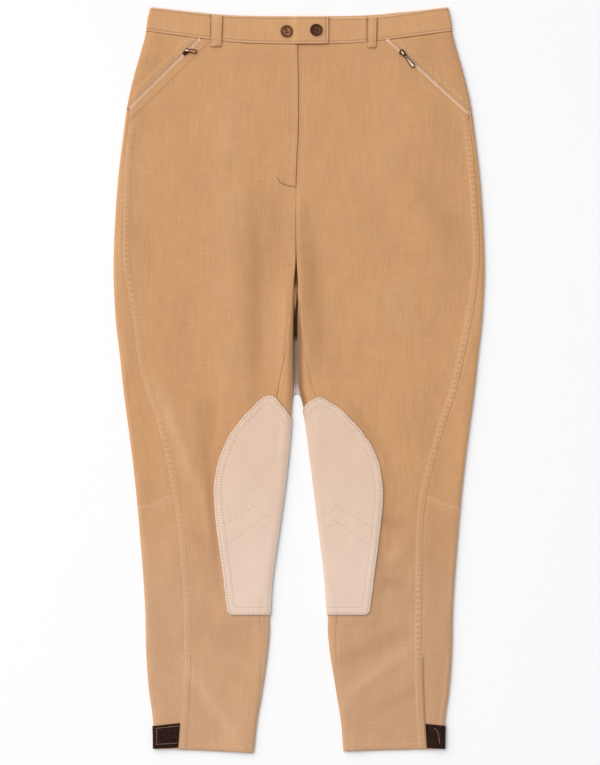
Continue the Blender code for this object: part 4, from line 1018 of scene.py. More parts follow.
def crotch_floor_and_shadow_strip(side):
    """The end of the back piece that lies flat to the centre back seam, and a strip below the fork where
    there is only shadow.

    It is seen through the slit between the legs and painted as shade: deep brown above, near black at the
    fork, and below the fork the grey of the table in shadow.
    """

    def shape(u, v):
        bottom_y = lerp(FORK_END_Y - FLOOR_DROP[0], FORK_END_Y - FLOOR_DROP[1], u**1.5)
        y = lerp(bottom_y, FLOOR_TOP_Y, v)
        inner = across_centre(side, y) + 0.01
        outer = inner + leg_gap(y) + FOLD_RADIUS + 3.0
        # Painted shade: deep brown in the slit and near black at the fork, turning to the grey of the shaded
        # table below it.
        tone = -1.7 * between(y, *FLOOR_SHADE_Y[side]) - 1.4 * between(y, 116.0, 130.0) - 0.16
        tone -= 1.14 * between(y, 62.0, 44.0)
        for deeper, start, run in ((0.25, 38.0, 41.0), (0.75, -3.0, 24.0)):
            tone -= deeper * clamped((start - y) / run)
        return side * lerp(inner, outer, u), y, np.full(u.shape, 0.08), tone

    return shape


def joined(name, *meshes):
    """One mesh out of several that are parts of the same cut piece."""
    whole = bmesh.new()
    for mesh in meshes:
        whole.from_mesh(mesh)
    made = mesh_of(name, whole)
    made.materials.append(meshes[0].materials[0])
    for mesh in meshes:
        bpy.data.meshes.remove(mesh)
    return made


CALF_TOP_Y = CALF_SEAM_Y - 0.05

for side, name in SIDE_NAMES.items():
    upper_shape = back_shape(side, WAIST_SEAM_Y + 3.0, CALF_SEAM_Y, CALF_SEAM_Y)
    upper = cloth_grid("upper", 76, 160, upper_shape, False, cotton)
    # The back piece's flat end, with a strip below the fork painted as the shadow between the legs.
    floor = cloth_grid("floor", 6, 40, crotch_floor_and_shadow_strip(side), False, cotton)
    shell = joined(f"back_leg_{name}", upper, floor)
    back = cloth_piece(shell, CLOTH, "cotton_twill", f"back_{name}")
    lower_shape = back_shape(side, CALF_TOP_Y, HEM_Y[side], CALF_TOP_Y)
    shell = cloth_grid(f"calf_piece_{name}", 76, 96, lower_shape, False, cotton)
    calf = cloth_piece(shell, CLOTH, "cotton_twill", f"calf_{name}")

    seam_end = station_at(side, side_seam[side](CALF_SEAM_Y) + 1.0, CALF_SEAM_Y)
    around = np.linspace(1.35, float(seam_end), 60)
    rows_of = [on_skin(side, around, calf_seam(around) + up) for up in CALF_ROWS_UP]
    thread = stitches(f"calf_seam_stitches_{name}", rows_of, pale_thread, "cotton_twill")

# ---------------------------------------------------------------- fronts
# Each front is cut in one length from waist to hem and lapped over the back at the side, with two rows of
# stitches along the lap. The right front carries the fly; both are open beside the slit above the hem.


CENTRE_SEAM_CLOSED = 0.05


def front_inner_edge(side, y):
    past_fork = between(y, 106.0, 90.0)
    sewn_shut = CENTRE_SEAM_CLOSED * between(y, 252.0, 247.0)
    centre = across_centre(side, y) + 0.5 * INSEAM_GAP - sewn_shut + 2.5 * between(y, 168.0, 118.0)
    inseam = across_centre(side, y) + leg_gap(y) + inseam_inset(y) + 0.5 * INSEAM_GAP + inner_fold(side, y)[3]
    return lerp(centre, inseam, past_fork)


def front_outer_edge(side, y):
    by_zip = zip_reach(side, y) - ZIP_OPEN * math.sqrt(2.0)
    return np.minimum(by_zip, side_seam[side](y) - 0.5 * PANEL_GAP)


def tuck_below_band(reach, y):
    """Depth by which cloth dives under the band above the waist seam."""
    over = y - WAIST_SEAM_Y - arch_rise(SEAM_ARCH, reach)
    return 1.7 * between(over, -0.4, 0.9)


def front_shape(side):
    def shape(u, v):
        rows = lerp(HEM_Y[side], WAIST_SEAM_Y + 3.0, v)
        y = rows
        for _ in range(3):
            inner = front_inner_edge(side, y)
            outer = front_outer_edge(side, y)
            reach = lerp(inner, outer, crowded_ends(u, 0.72))
            y = settle(side, reach, rows)
        pressed = 1.0 - 0.8 * between(y, 252.0, 246.0) * between(y, 150.0, 166.0)
        pressed -= 0.8 * between(y, 84.0, 60.0)
        roll = pressed * edge_roll(reach - inner) + edge_roll(outer - reach)
        roll += edge_roll(above_hem(side, reach, y))
        z = face_height(side, reach, y) - roll - tuck_below_band(reach, y)
        return side * reach, y, z, front_light_shade_tone(side, reach, y)

    return shape


SEAM_STITCH_TOP_Y = 336.0
HEM_ROW_Y = -470.0

fly_thread = thread_paint("fly_thread", (0.25, 0.120, 0.055), (0.17, 0.078, 0.035))
matched_thread = thread_paint("matched_thread", (0.60, 0.33, 0.155), (0.52, 0.28, 0.13))

for side, name in SIDE_NAMES.items():
    shell = cloth_grid(f"front_leg_{name}", 82, 470, front_shape(side), True, cotton)
    front = cloth_piece(shell, CLOTH, "cotton_twill", f"front_{name}")

    lines = []
    down = np.linspace(SEAM_STITCH_TOP_Y, HEM_Y[side] + 4.0, 420)
    for row in SEAM_ROWS:
        lines.append(on_face(side, side_seam[side](down) - row, down))
    for tack in np.linspace(-0.9, 0.9, 4):
        across = side_seam[side](SLIT_TOP_Y) + np.linspace(0.8, -9.6, 12)
        lines.append(on_face(side, across, SLIT_TOP_Y + tack))
    start, end = front_inner_edge(side, HEM_ROW_Y) + 1.0, front_outer_edge(side, HEM_ROW_Y) - 1.0
    hem_reach = np.linspace(start, end, 60)
    hem_line = HEM_Y[side] + hem_slant(side, hem_reach) + HEM_STITCH
    lines.append(on_face(side, hem_reach, hem_line))
    start, end = float(side_seam[side](HEM_ROW_Y)) + 1.5, float(outer_fold(HEM_ROW_Y)) - 2.0
    hem_reach = np.linspace(start, end, 20)
    lines.append(on_face(side, hem_reach, hem_line[-1] + 0.03 * (hem_reach - hem_reach[0])))
    if side == RIGHT:
        turn_reach, turn_y = fly_turn(np.linspace(0.0, 1.0, 30))
        turned_end = on_face(side, across_centre(side, turn_y) + turn_reach, turn_y)
        sewing = {"pitch": 1.4, "length": 2.0, "width": 1.0, "hole": 0.0}
        stitches("fly_bar", [turned_end], fly_thread, "cotton_twill", **sewing)
        fly = np.linspace(FLY_BOTTOM_Y + 12.0, 433.0, 90)
        upright = on_face(side, across_centre(side, fly) + FLY_WIDTH, fly)
        stitches("fly_row", [upright], matched_thread, "cotton_twill", hole=0.0)
    thread = stitches(f"front_stitches_{name}", lines, pale_thread, "cotton_twill")

# ---------------------------------------------------------------- hip pieces
# A small piece beside each pocket zip, from the zip round the outer fold, sewn to the back at the side and
# taken into the band above. Three rows of stitches run beside the zip on its hip side and one on the front's.


HIP_START_ARC = 0.52 * math.pi * OUTER_WIDE


def hip_shape(side):
    def shape(u, v):
        rows = lerp(HIP_END_ROW[side], WAIST_SEAM_Y + 3.0, v)
        y = rows
        for _ in range(3):
            zip_edge = zip_reach(side, y) + ZIP_OPEN * math.sqrt(2.0)
            end_arc = fold_arc(np.maximum(outer_fold(y) - zip_edge, 0.4), OUTER_WIDE)
            arc = lerp(HIP_START_ARC, np.maximum(end_arc, HIP_START_ARC + 0.5), crowded_ends(u, 0.6))
            stations = outer_station(side, y, arc)
            reach, _ = skin(side, y, stations, 0.0)
            y = settle(side, reach, rows)
        depth = edge_roll(end_arc - arc) + tuck_below_band(reach, y)
        tone = front_light_shade_tone(side, reach, y)
        reach, z = skin(side, y, stations, depth)
        return side * reach, y, z, tone

    return shape


def zip_run(side):
    """Direction of the pocket zip, as reach and y, and its length."""
    zip_line = ZIPS[side]
    run = Vector((zip_line.end_reach - zip_line.top_reach, zip_line.end_y - zip_line.top_y))
    return run.normalized(), run.length


FOLD_MARGIN = 1.2

for side, name in SIDE_NAMES.items():
    shell = cloth_grid(f"hip_piece_{name}", 40, 44, hip_shape(side), True, cotton)
    hip = cloth_piece(shell, CLOTH, "cotton_twill", f"hip_{name}")
    zip_line = ZIPS[side]
    run, length = zip_run(side)
    lines = []
    for offset in (*(-row for row in WELT_ROWS["hip"]), *WELT_ROWS["front"]):
        down = np.linspace(-4.0, length, 90)
        reach = zip_line.top_reach + run.x * down + run.y * offset
        y = zip_line.top_y + run.y * down - run.x * offset
        below_band = y < WAIST_SEAM_Y + arch_rise(SEAM_ARCH, reach) - 1.5
        seen = below_band & (reach < outer_fold(y) - FOLD_MARGIN)
        lines.append(on_face(side, reach[seen], y[seen]))
    for tack in np.linspace(-0.8, 0.8, 3):
        off = np.linspace(-10.0, 10.0, 16)
        reach = zip_line.end_reach - 4.0 + run.x * tack + run.y * off
        y = zip_line.end_y + 1.0 + run.y * tack - run.x * off
        seen = reach < outer_fold(y) - FOLD_MARGIN
        lines.append(on_face(side, reach[seen], y[seen]))
    thread = stitches(f"pocket_stitches_{name}", lines, pale_thread, "cotton_twill")

# ---------------------------------------------------------------- pocket zips
# A cream zip shows between the two welts: a woven tape with a row of interlocked teeth along its middle.
# The tape is sewn under both edges of the pocket opening.

TAPE_SINK = 0.45
TAPE_WALL = 0.8
TOOTH_PITCH = 1.25
TOOTH_OFFSET = 1.0
TOOTH_SIZE = (1.3, 1.15, 0.9)


def zip_path(side, shares):
    zip_line = ZIPS[side]
    reach = lerp(zip_line.top_reach, zip_line.end_reach, shares)
    return reach, lerp(zip_line.top_y, zip_line.end_y, shares)


def zip_level(side, reach, y, off):
    """Height across the open zip, level between the two edges of the pocket."""
    run, _ = zip_run(side)
    sides = (-ZIP_OPEN - 0.1, ZIP_OPEN + 0.1)
    edges = [face_height(side, reach + run.y * far, y - run.x * far) for far in sides]
    return lerp(*edges, clamped(0.5 + 0.5 * off / ZIP_OPEN))


def tape_shape(side):
    run, _ = zip_run(side)

    def shape(u, v):
        along_reach, along_y = zip_path(side, lerp(-0.02, 0.965, v))
        off = lerp(-0.5 * ZIP_TAPE_WIDTH, 0.5 * ZIP_TAPE_WIDTH, u)
        level = zip_level(side, along_reach, along_y, off)
        z = level - TAPE_SINK - 0.85 * between(np.abs(off), ZIP_OPEN - 0.2, ZIP_OPEN + 0.3)
        # Painted shade under the hip-side welt and in the middle between the teeth.
        tone = 1.0 - between(off, -1.75, -1.45) + 0.9 * between(np.abs(off - 0.05), 0.5, 0.25)
        return side * (along_reach + run.y * off), along_y - run.x * off, z, tone

    return shape


def tape_paint():
    """Cream ribbed tape, painted brown as the shade under the welt and along the middle; its tone is this
    painted shade.
    """
    paint = Paint("zip_tape", Roughness=0.8, Sheen_Weight=0.1)
    ribs = paint.noise(paint.place(), 1500.0, 2.0)
    shaded = paint.tone()
    woven = paint.blend(ribs, (0.82, 0.52, 0.33), (0.95, 0.66, 0.45))
    return paint.finish(ribs, 0.00008, Base_Color=paint.blend(shaded, woven, (0.17, 0.070, 0.030)))


def tooth_paint():
    paint = Paint("zip_teeth", Roughness=0.55, Specular_IOR_Level=0.25)
    wear_and_light = paint.noise(paint.place(), 700.0, 2.0)
    colour = paint.blend(wear_and_light, (0.90, 0.60, 0.42), (1.0, 0.80, 0.60))
    return paint.finish(wear_and_light, 0.00003, Base_Color=colour)


zip_cream = tape_paint()
tooth_cream = tooth_paint()

for side, name in SIDE_NAMES.items():
    shell = cloth_grid(f"zip_band_{name}", 26, 90, tape_shape(side), True, zip_cream)
    cloth_piece(shell, TAPE_WALL, "zip_tape", f"zip_tape_{name}")
    run, length = zip_run(side)
    count = int(length / TOOTH_PITCH)
    shares = (np.arange(2 * count) + 0.5) / (2 * count)
    reach, y = zip_path(side, shares)
    hands = np.where(np.arange(2 * count) % 2, TOOTH_OFFSET, -TOOTH_OFFSET)
    level = zip_level(side, reach, y, hands) - TAPE_SINK + 0.3
    seats = np.stack((side * (reach + run.y * hands), y - run.x * hands, level), axis=1)
    seats = seats[(y < band_lower(reach) - 1.2) & (reach < outer_fold(y) - 2.0)]
    ones = np.ones((len(seats), 1))
    ways = ((side * run.x, run.y, 0.0), (side * run.y, -run.x, 0.0), (0.0, 0.0, 1.0))
    axes = tuple(ones * way * size for way, size in zip(ways, TOOTH_SIZE))
    beads(f"zip_teeth_{name}", [(tooth_cream, seats, axes)], "zip_tape")

# ---------------------------------------------------------------- sliders and pull tabs
# Cast brass, darkened, with the slider's bridge and the middle of each pull painted bright as their
# highlight.
# The slider runs on the teeth and has a bridge over the bar of its pull tab, which swings on that bar.

SLIDER_LENGTH = 10.0
SLIDER_WIDTH = 6.8
SLIDER_SHIFT = {RIGHT: 2.6, LEFT: 0.0}
SLIDER_WALL = 1.6
BRIDGE_HALF = 2.6
BRIDGE_TOP = 1.75
BRIDGE_BAR = (0.42, 0.85)
PULL_AXIS_LIFT = 1.15
PULL_WALL = 1.0
PULL_TILT = 6.0
RING_LENGTH = {RIGHT: 4.4, LEFT: 6.4}
RING_WIDTH = 4.2
RING_BAR = 1.0
RING_BULGE = 3.2


def joint_place(name):
    joint = next(j for j in frame["joints"] if j["name"] == name)
    return Vector(joint["pos_m"])


def brass_paint(name, dark, light, roughness):
    """Brass with brown tarnish in soft spots."""
    paint = Paint(name, Metallic=0.15, Specular_IOR_Level=0.15)
    tarnish = paint.ramp(paint.noise(paint.place(), 800.0, 3.0), 0.35, 0.7)
    colour = paint.blend(tarnish, dark, light)
    return paint.finish(tarnish, 0.00004, Base_Color=colour, Roughness=roughness + tarnish * 0.08)


# Dark tarnished brass, and bright brasses painted as the highlights on the slider's bridge and the middles of
# the pulls.
antique_brass = brass_paint("antique_brass", (0.022, 0.005, 0.001), (0.075, 0.022, 0.006), 0.42)
bright_brass = brass_paint("bright_brass", (0.95, 0.72, 0.48), (1.0, 0.90, 0.70), 0.36)
PULL_HIGHLIGHT = {
    RIGHT: brass_paint("brown_brass", (0.42, 0.17, 0.070), (0.60, 0.30, 0.16), 0.40),
    LEFT: brass_paint("gold_brass", (0.95, 0.64, 0.40), (1.0, 0.84, 0.64), 0.36),
}
PULL_ENDS = {RIGHT: (4.6, 5.8), LEFT: (2.8, 5.6)}


EDGE_BEVEL = {"profile": 0.5, "affect": "EDGES", "material": -1}


def raise_plate(shaped, faces, height):
    """Extrudes flat faces upward into a plate, and returns what was pushed up."""
    pushed = bmesh.ops.extrude_face_region(shaped, geom=faces)["geom"]
    moved = [item for item in pushed if isinstance(item, bmesh.types.BMVert)]
    bmesh.ops.translate(shaped, vec=(0.0, 0.0, height * MM), verts=moved)
    bmesh.ops.recalc_face_normals(shaped, faces=shaped.faces)
    return pushed


def outline_solid(shaped, points, height, bevel):
    """A closed plate from its outline, with rounded edges and a raised middle in the second material, its
    painted highlight.
    """
    ring = [shaped.verts.new((x * MM, y * MM, -0.5 * height * MM)) for x, y in points]
    base = shaped.faces.new(ring)
    pushed = raise_plate(shaped, [base], height)
    top = next(item for item in pushed if isinstance(item, bmesh.types.BMFace))
    for wide, deep in ((1.0, -0.22), (0.22, 0.12)):
        bmesh.ops.inset_region(shaped, faces=[top], thickness=wide * MM, depth=deep * MM)
    # The raised middle takes the second material, the painted highlight.
    top.material_index = 1
    crown = bmesh.ops.inset_region(shaped, faces=[top], thickness=0.45 * MM, depth=0.14 * MM)["faces"]
    for facet in crown:
        facet.material_index = 1
    bmesh.ops.bevel(shaped, geom=base.edges[:], offset=bevel * MM, segments=2, **EDGE_BEVEL)


def ring_solid(shaped, length, width, bar, height):
    """A closed rounded link lying level, its hinge bar across x = 0."""
    loops = []
    for shrink in (0.0, bar):
        ring = bmesh.ops.create_circle(shaped, segments=28, radius=1.0)["verts"]
        for corner in ring:
            x, y = corner.co.x, corner.co.y
            bulge = (abs(x) ** RING_BULGE + abs(y) ** RING_BULGE) ** (1 / RING_BULGE)
            corner.co.x = (0.5 * length + (0.5 * length - shrink) * x / bulge - 0.5 * bar) * MM
            corner.co.y = (0.5 * width - shrink) * y / bulge * MM
            corner.co.z = -0.5 * height * MM
        loops += list({edge for corner in ring for edge in corner.link_edges})
    flat = bmesh.ops.bridge_loops(shaped, edges=loops)["faces"]
    raise_plate(shaped, flat, height)
    sharp = [edge for edge in shaped.edges if edge.is_manifold and edge.calc_face_angle() > 1.0]
    bmesh.ops.bevel(shaped, geom=sharp, offset=0.3 * MM, segments=3, **EDGE_BEVEL)


def smooth_but_sharp(mesh):
    """Smooth shading with the real corners kept."""
    mesh.shade_smooth()
    mesh.set_sharp_from_angle(angle=math.radians(50.0))


# Each metal piece takes the dark brass and a second brass painted as its highlight.
def metal_piece(name, shaped, body, node, highlight_brass):
    bmesh.ops.recalc_face_normals(shaped, faces=shaped.faces)
    mesh = mesh_of(name, shaped)
    smooth_but_sharp(mesh)
    mesh.materials.append(antique_brass)
    mesh.materials.append(highlight_brass)
    add_piece(name, mesh, "antique_brass", node, body=body)


for side, name in SIDE_NAMES.items():
    line = ZIPS[side]
    hinge = joint_place(f"pull_{name}_hinge")
    turn = Matrix.Rotation(math.radians(line.tab_angle), 4, "Z")
    along_zip = math.atan2(line.end_y - line.top_y, side * (line.end_reach - line.top_reach))

    body = bmesh.new()
    block = Matrix.Diagonal((SLIDER_LENGTH * MM, SLIDER_WIDTH * MM, SLIDER_WALL * MM, 1.0))
    bmesh.ops.create_cube(body, size=1.0, matrix=block)
    bmesh.ops.subdivide_edges(body, edges=body.edges[:], cuts=3, use_grid_fill=True)
    for corner in body.verts:
        along = corner.co.x / (SLIDER_LENGTH * MM) + 0.5
        corner.co.y *= 1.0 - 0.40 * along + 0.10 * math.sin(math.pi * along)
        corner.co.x *= 1.0 - 0.18 * (2.0 * corner.co.y / (SLIDER_WIDTH * MM)) ** 2
    bmesh.ops.recalc_face_normals(body, faces=body.faces)
    sharp = [edge for edge in body.edges if edge.calc_face_angle() > 1.0]
    bmesh.ops.bevel(body, geom=sharp, offset=0.45 * MM, segments=3, **EDGE_BEVEL)
    seat = hinge - Vector((0.0, 0.0, (PULL_AXIS_LIFT + 0.5 * SLIDER_WALL) * MM))
    turned = Matrix.Translation(seat) @ Matrix.Rotation(along_zip, 4, "Z")
    slid = Matrix.Translation((SLIDER_SHIFT[side] * MM, 0.0, 0.0))
    bmesh.ops.transform(body, matrix=turned @ slid, verts=body.verts)

    bridge = bmesh.new()
    bar = bmesh.ops.create_circle(bridge, cap_ends=False, segments=12, radius=1.0)["verts"]
    for corner in bar:
        flat_bar = (-BRIDGE_HALF + BRIDGE_BAR[0] * corner.co.x, BRIDGE_BAR[1] * corner.co.y, 0.0)
        corner.co = Vector(flat_bar) * MM
    half_turn = {"cent": (0, 0, 0), "axis": (0, 1, 0), "angle": math.pi, "steps": 16}
    bmesh.ops.spin(bridge, geom=bridge.verts[:] + bridge.edges[:], **half_turn)
    bmesh.ops.holes_fill(bridge, edges=bridge.edges[:], sides=12)
    for corner in bridge.verts:
        raised = corner.co.z * (BRIDGE_TOP + PULL_AXIS_LIFT) / BRIDGE_HALF * 0.93
        corner.co.z = raised - (PULL_AXIS_LIFT + 0.1) * MM
    bmesh.ops.transform(bridge, matrix=Matrix.Translation(hinge) @ turn, verts=bridge.verts)
    bmesh.ops.recalc_face_normals(bridge, faces=bridge.faces)
    arch_mesh = mesh_of("arch", bridge)
    # The bridge takes the brass painted as its highlight.
    for facet in arch_mesh.polygons:
        facet.material_index = 1
    body.from_mesh(arch_mesh)
    bpy.data.meshes.remove(arch_mesh)
    metal_piece(f"slider_{name}", body, GARMENT, f"zip_slider_{name}", bright_brass)

    tab = bmesh.new()
    ring_solid(tab, RING_LENGTH[side], RING_WIDTH, RING_BAR, PULL_WALL)
    neck = RING_LENGTH[side] - RING_BAR
    end = line.tab_length - 2.6
    narrow, half = (0.5 * width for width in PULL_ENDS[side])
    arc = [math.radians(angle) for angle in range(-80, 81, 16)]
    outline = [(neck - 0.9, -narrow), (neck + 1.2, -1.04 * narrow), (end - 1.3 * half, -half)]
    outline += [(end - half + half * math.cos(angle), half * math.sin(angle)) for angle in arc]
    outline += [(end - 1.3 * half, half), (neck + 1.2, 1.04 * narrow), (neck - 0.9, narrow)]
    outline_solid(tab, outline, PULL_WALL + 0.1, 0.2)
    tilt = Matrix.Rotation(math.radians(PULL_TILT), 4, "Y")
    bmesh.ops.transform(tab, matrix=Matrix.Translation(hinge) @ turn @ tilt, verts=tab.verts)
    metal_piece(f"pull_{name}", tab, f"pull_{name}", f"pull_tab_{name}", PULL_HIGHLIGHT[side])

# ---------------------------------------------------------------- waistband
# A straight doubled band of the same twill, folded along its top edge and stitched along both edges. Its
# right end runs on over the fly as a tab with a rounded corner.

BAND_WALL = 2.0
BAND_HEIGHT = 5.2
TAB_HEIGHT = 7.5
TAB_END_X = 38.4
TAB_END_ROW = 3.4
TAB_CORNER = 3.4
TAB_TOP_CORNER = 2.0
BAND_ROWS = (3.0, 2.7)
BAND_FOLD = (0.40, 0.46)
BAND_DROP = {RIGHT: 0.5, LEFT: 2.3}
BELT_LOOP_WALL = 1.4
BELT_LOOP_WIDTH = 13.0
BACK_LOOPS_X = {"right": -128.0, "centre": -2.4, "left": 124.0}
FRONT_LOOP_REACH = {RIGHT: 107.0, LEFT: 95.0}
FRONT_LOOP_WIDTH = {RIGHT: (13.6, 15.2), LEFT: (12.0, 12.0)}

band_cotton = twill_paint("band_twill", (0.615, 0.340, 0.166), (0.545, 0.292, 0.138), *CALF_COLOURS)


def band_edges(side, reach, on_front):
    """Lower and upper edge of the band; the left front one sits lower than the back."""
    lower = WAIST_SEAM_Y + np.where(on_front, BAND_LAP, 1.2) + arch_rise(SEAM_ARCH, reach)
    upper = WAIST_TOP_Y + arch_rise(TOP_ARCH, reach)
    drop = BAND_DROP[side] * between(np.abs(reach), 190.0, 110.0)
    return lower, upper - np.where(on_front, drop, 0.0)


def band_floor(x):
    """The back of the band is drawn up over each back belt loop."""
    rise = np.zeros(np.shape(x))
    for loop_x in BACK_LOOPS_X.values():
        off = np.abs(x - loop_x)
        rise = np.maximum(rise, between(off, 0.5 * BELT_LOOP_WIDTH + 7.0, 0.5 * BELT_LOOP_WIDTH + 1.0))
    return (BELT_LOOP_WALL + SEAM_GAP) * rise


def band_relief(side, reach, from_lower, from_upper):
    """Stitched edges and the slight waves of a doubled band, on the front."""
    strip = groove(from_lower - BAND_ROWS[0], 0.3) + groove(from_upper - BAND_ROWS[1], 0.3)
    drawn = puckers(reach * 1.15, 0.7) * between(np.minimum(from_lower, from_upper), 7.0, 2.0)
    bow = 0.25 * np.sin(reach / 23.0 + side) * np.sin(math.pi * clamped(from_lower / 37.0))
    return strip + 0.10 * drawn + bow


def band_tone(side, reach, from_lower, from_upper, on_front):
    """Painted highlight on the lips outside the two rows, painted shade along the rows, and painted shadow
    beside the front belt loop.
    """
    low_row, high_row = BAND_ROWS
    lip = between(from_lower, low_row - 0.2, 0.8 * low_row) * between(from_lower, 0.2, 0.9)
    lip = 0.7 * lip + 0.9 * between(from_upper, high_row - 0.2, 0.8 * high_row)
    from_row = np.minimum(np.abs(from_lower - low_row), np.abs(from_upper - high_row))
    loop_reach = FRONT_LOOP_REACH[side]
    from_loop = np.abs(np.abs(reach - loop_reach) - 0.5 * FRONT_LOOP_WIDTH[side][0] - 0.6)
    shade = np.where(side * reach < side * loop_reach, 0.75, 0.12)
    return 0.28 * lip - 0.42 * between(from_row, 1.1, 0.2) - shade * between(from_loop, 1.6, 0.3) * on_front


def tab_rise(side, reach):
    """The right end of the band climbs over the left one."""
    return (TAB_HEIGHT - BAND_HEIGHT) * between(reach, 12.0, 2.2) * (side == RIGHT)


def rounded_off(distance, radius):
    """How far a rounded corner stands back from the end, by the distance from its long edge."""
    inside = radius - np.minimum(distance, radius)
    return radius - np.sqrt(np.maximum(radius**2 - inside**2, 0.0))


def band_shape(side):
    centre = side * float(centre_x(WAIST_TOP_Y)) + 0.5 * SEAM_GAP
    end = -TAB_END_X if side == RIGHT else centre
    fold_start, fold_end = BAND_FOLD

    def shape(u, v):
        on_back = u < fold_start
        on_fold = (u >= fold_start) & (u < fold_end)
        on_front = u > 0.5 * (fold_start + fold_end)
        angle = math.pi * (clamped((u - fold_start) / (fold_end - fold_start)) - 0.5)
        front_share = 1.0 - (1.0 - clamped((u - fold_end) / (1.0 - fold_end))) ** 1.25
        y = 0.5 * (WAIST_SEAM_Y + WAIST_TOP_Y) + 8.0
        for _ in range(2):
            fold = outer_fold(y) - FOLD_RADIUS
            back_reach = lerp(centre, fold, clamped(u / fold_start))
            reach = np.where(on_back, back_reach, lerp(fold, end, front_share))
            lower, upper = band_edges(side, reach, on_front)
            y = lerp(lower, upper, crowded_ends(v, 0.78))
        from_lower, from_upper = y - lower, upper - y
        depth = 1.3 * edge_roll(from_upper) + edge_roll(from_lower)
        relief = band_relief(side, reach, from_lower, from_upper)
        end_tone = 0.0
        if side == RIGHT:
            cut = np.maximum(rounded_off(from_lower, TAB_CORNER), rounded_off(from_upper, TAB_TOP_CORNER))
            cut *= between(reach, end + 9.0, end + 2.0)
            reach = np.where(on_back, reach, reach + cut)
            from_end = reach - end - cut
            from_row = from_end - TAB_END_ROW
            depth += np.where(on_back, 0.0, edge_roll(from_end))
            relief += np.where(on_back | on_fold, 0.0, groove(from_row, 0.3))
            # Painted highlight on the tab's end and painted shade along its end row.
            end_tone = 0.20 * between(from_end, 3.0, 2.4) - 0.34 * between(np.abs(from_row), 1.1, 0.2)
        tone = band_tone(side, reach, from_lower, from_upper, on_front) + np.where(on_back, 0.0, end_tone)
        sunk = BAND_HEIGHT + tab_rise(side, reach) - depth + relief * 0.8
        z = np.where(on_back, band_floor(side * reach) + depth * 0.5, sunk)
        round_reach = fold + (FOLD_RADIUS - depth) * np.cos(angle)
        round_z = FOLD_RADIUS + (FOLD_RADIUS - depth) * np.sin(angle)
        return side * np.where(on_fold, round_reach, reach), y, np.where(on_fold, round_z, z), tone

    return shape


def on_band(side, reach, y):
    """Points of a line on the front of the band, and 1 mm above them."""
    reach, y = paired(reach, y)
    lower, upper = band_edges(side, reach, True)
    relief = 0.8 * band_relief(side, reach, y - lower, upper - y)
    return with_tops(side * reach, y, BAND_HEIGHT + tab_rise(side, reach) + relief)


BAND_ROW_END = {RIGHT: -TAB_END_X + TAB_END_ROW, LEFT: TAB_END_X + 0.6}

for side, name in SIDE_NAMES.items():
    shell = cloth_grid(f"band_{name}", 250, 44, band_shape(side), True, band_cotton)
    band = cloth_piece(shell, BAND_WALL, "band_twill", f"waistband_{name}")
    end = BAND_ROW_END[side]
    reach = np.linspace(float(outer_fold(480.0)) - 2.4, end, 260)
    lower, upper = band_edges(side, reach, True)
    low_row, high_row = lower + BAND_ROWS[0], upper - BAND_ROWS[1]
    lines = [on_band(side, reach, low_row), on_band(side, reach, high_row)]
    if side == RIGHT:
        lines.append(on_band(side, end, np.linspace(low_row[-1], high_row[-1], 20)))
    thread = stitches(f"band_stitches_{name}", lines, tan_thread, "band_twill")

# ---------------------------------------------------------------- belt loops
# Narrow folded strips of the same twill with a row of stitches along each side, sewn down at both ends. Two
# cross the front of the band and three lie under its back.

FRONT_LOOP_Y = {RIGHT: (432.5, 473.2), LEFT: (431.0, 471.0)}
BELT_LOOP_ARCH = 0.5
LOOP_ROW = 2.6
LOOP_LEAN = 1.4
PANEL_HEIGHT = 5.0


def loop_place(side, y):
    """Share up a front loop, its half width there, and how far it leans."""
    low_y, high_y = FRONT_LOOP_Y[side]
    share = (y - low_y) / (high_y - low_y)
    return share, 0.5 * lerp(*FRONT_LOOP_WIDTH[side], share), LOOP_LEAN * (share - 0.5)


def loop_level(side, y):
    """Height of the underside of a front loop along its length."""
    share, _, _ = loop_place(side, y)
    lower, _ = band_edges(side, np.full(np.shape(y), FRONT_LOOP_REACH[side]), True)
    on_panel = between(y, lower + 2.5, lower - 1.5)
    level = lerp(BAND_HEIGHT + SEAM_GAP, PANEL_HEIGHT, on_panel)
    return level + BELT_LOOP_ARCH * np.sin(math.pi * np.clip(share, 0.0, 1.0)) ** 2


def front_loop_top(side, across, y):
    """Height of the upper face of a front loop, by the share across it from -1 to 1."""
    low_y, high_y = FRONT_LOOP_Y[side]
    _, half, _ = loop_place(side, y)
    inside = half * (1.0 - np.abs(across))
    crown = 0.35 * (1.0 - across**2) + groove(inside - LOOP_ROW, 0.28)
    ends = edge_roll(y - low_y) + 1.6 * edge_roll((high_y - y) * 0.8)
    return loop_level(side, y) + BELT_LOOP_WALL + crown - edge_roll(inside) * 1.3 - ends


def front_loop_shape(side):
    low_y, high_y = FRONT_LOOP_Y[side]

    def shape(u, v):
        across = lerp(-1.0, 1.0, crowded_ends(u, 0.5))
        y = lerp(low_y, high_y, crowded_ends(v, 0.6))
        _, half, lean = loop_place(side, y)
        x = side * FRONT_LOOP_REACH[side] + half * across + lean
        inside = half * (1.0 - np.abs(across))
        # Painted shade along the loop's edges, deeper on the side toward the wearer's right, and at its foot;
        # paler along its rows.
        tone = -np.where(across < 0.0, 0.50, 0.22) * between(inside, 1.4, 0.2)
        tone += 0.16 * between(np.abs(inside - LOOP_ROW), 1.1, 0.3) - 0.7 * between(y - low_y, 1.5, 0.3)
        return x, y, front_loop_top(side, across, y), tone

    return shape


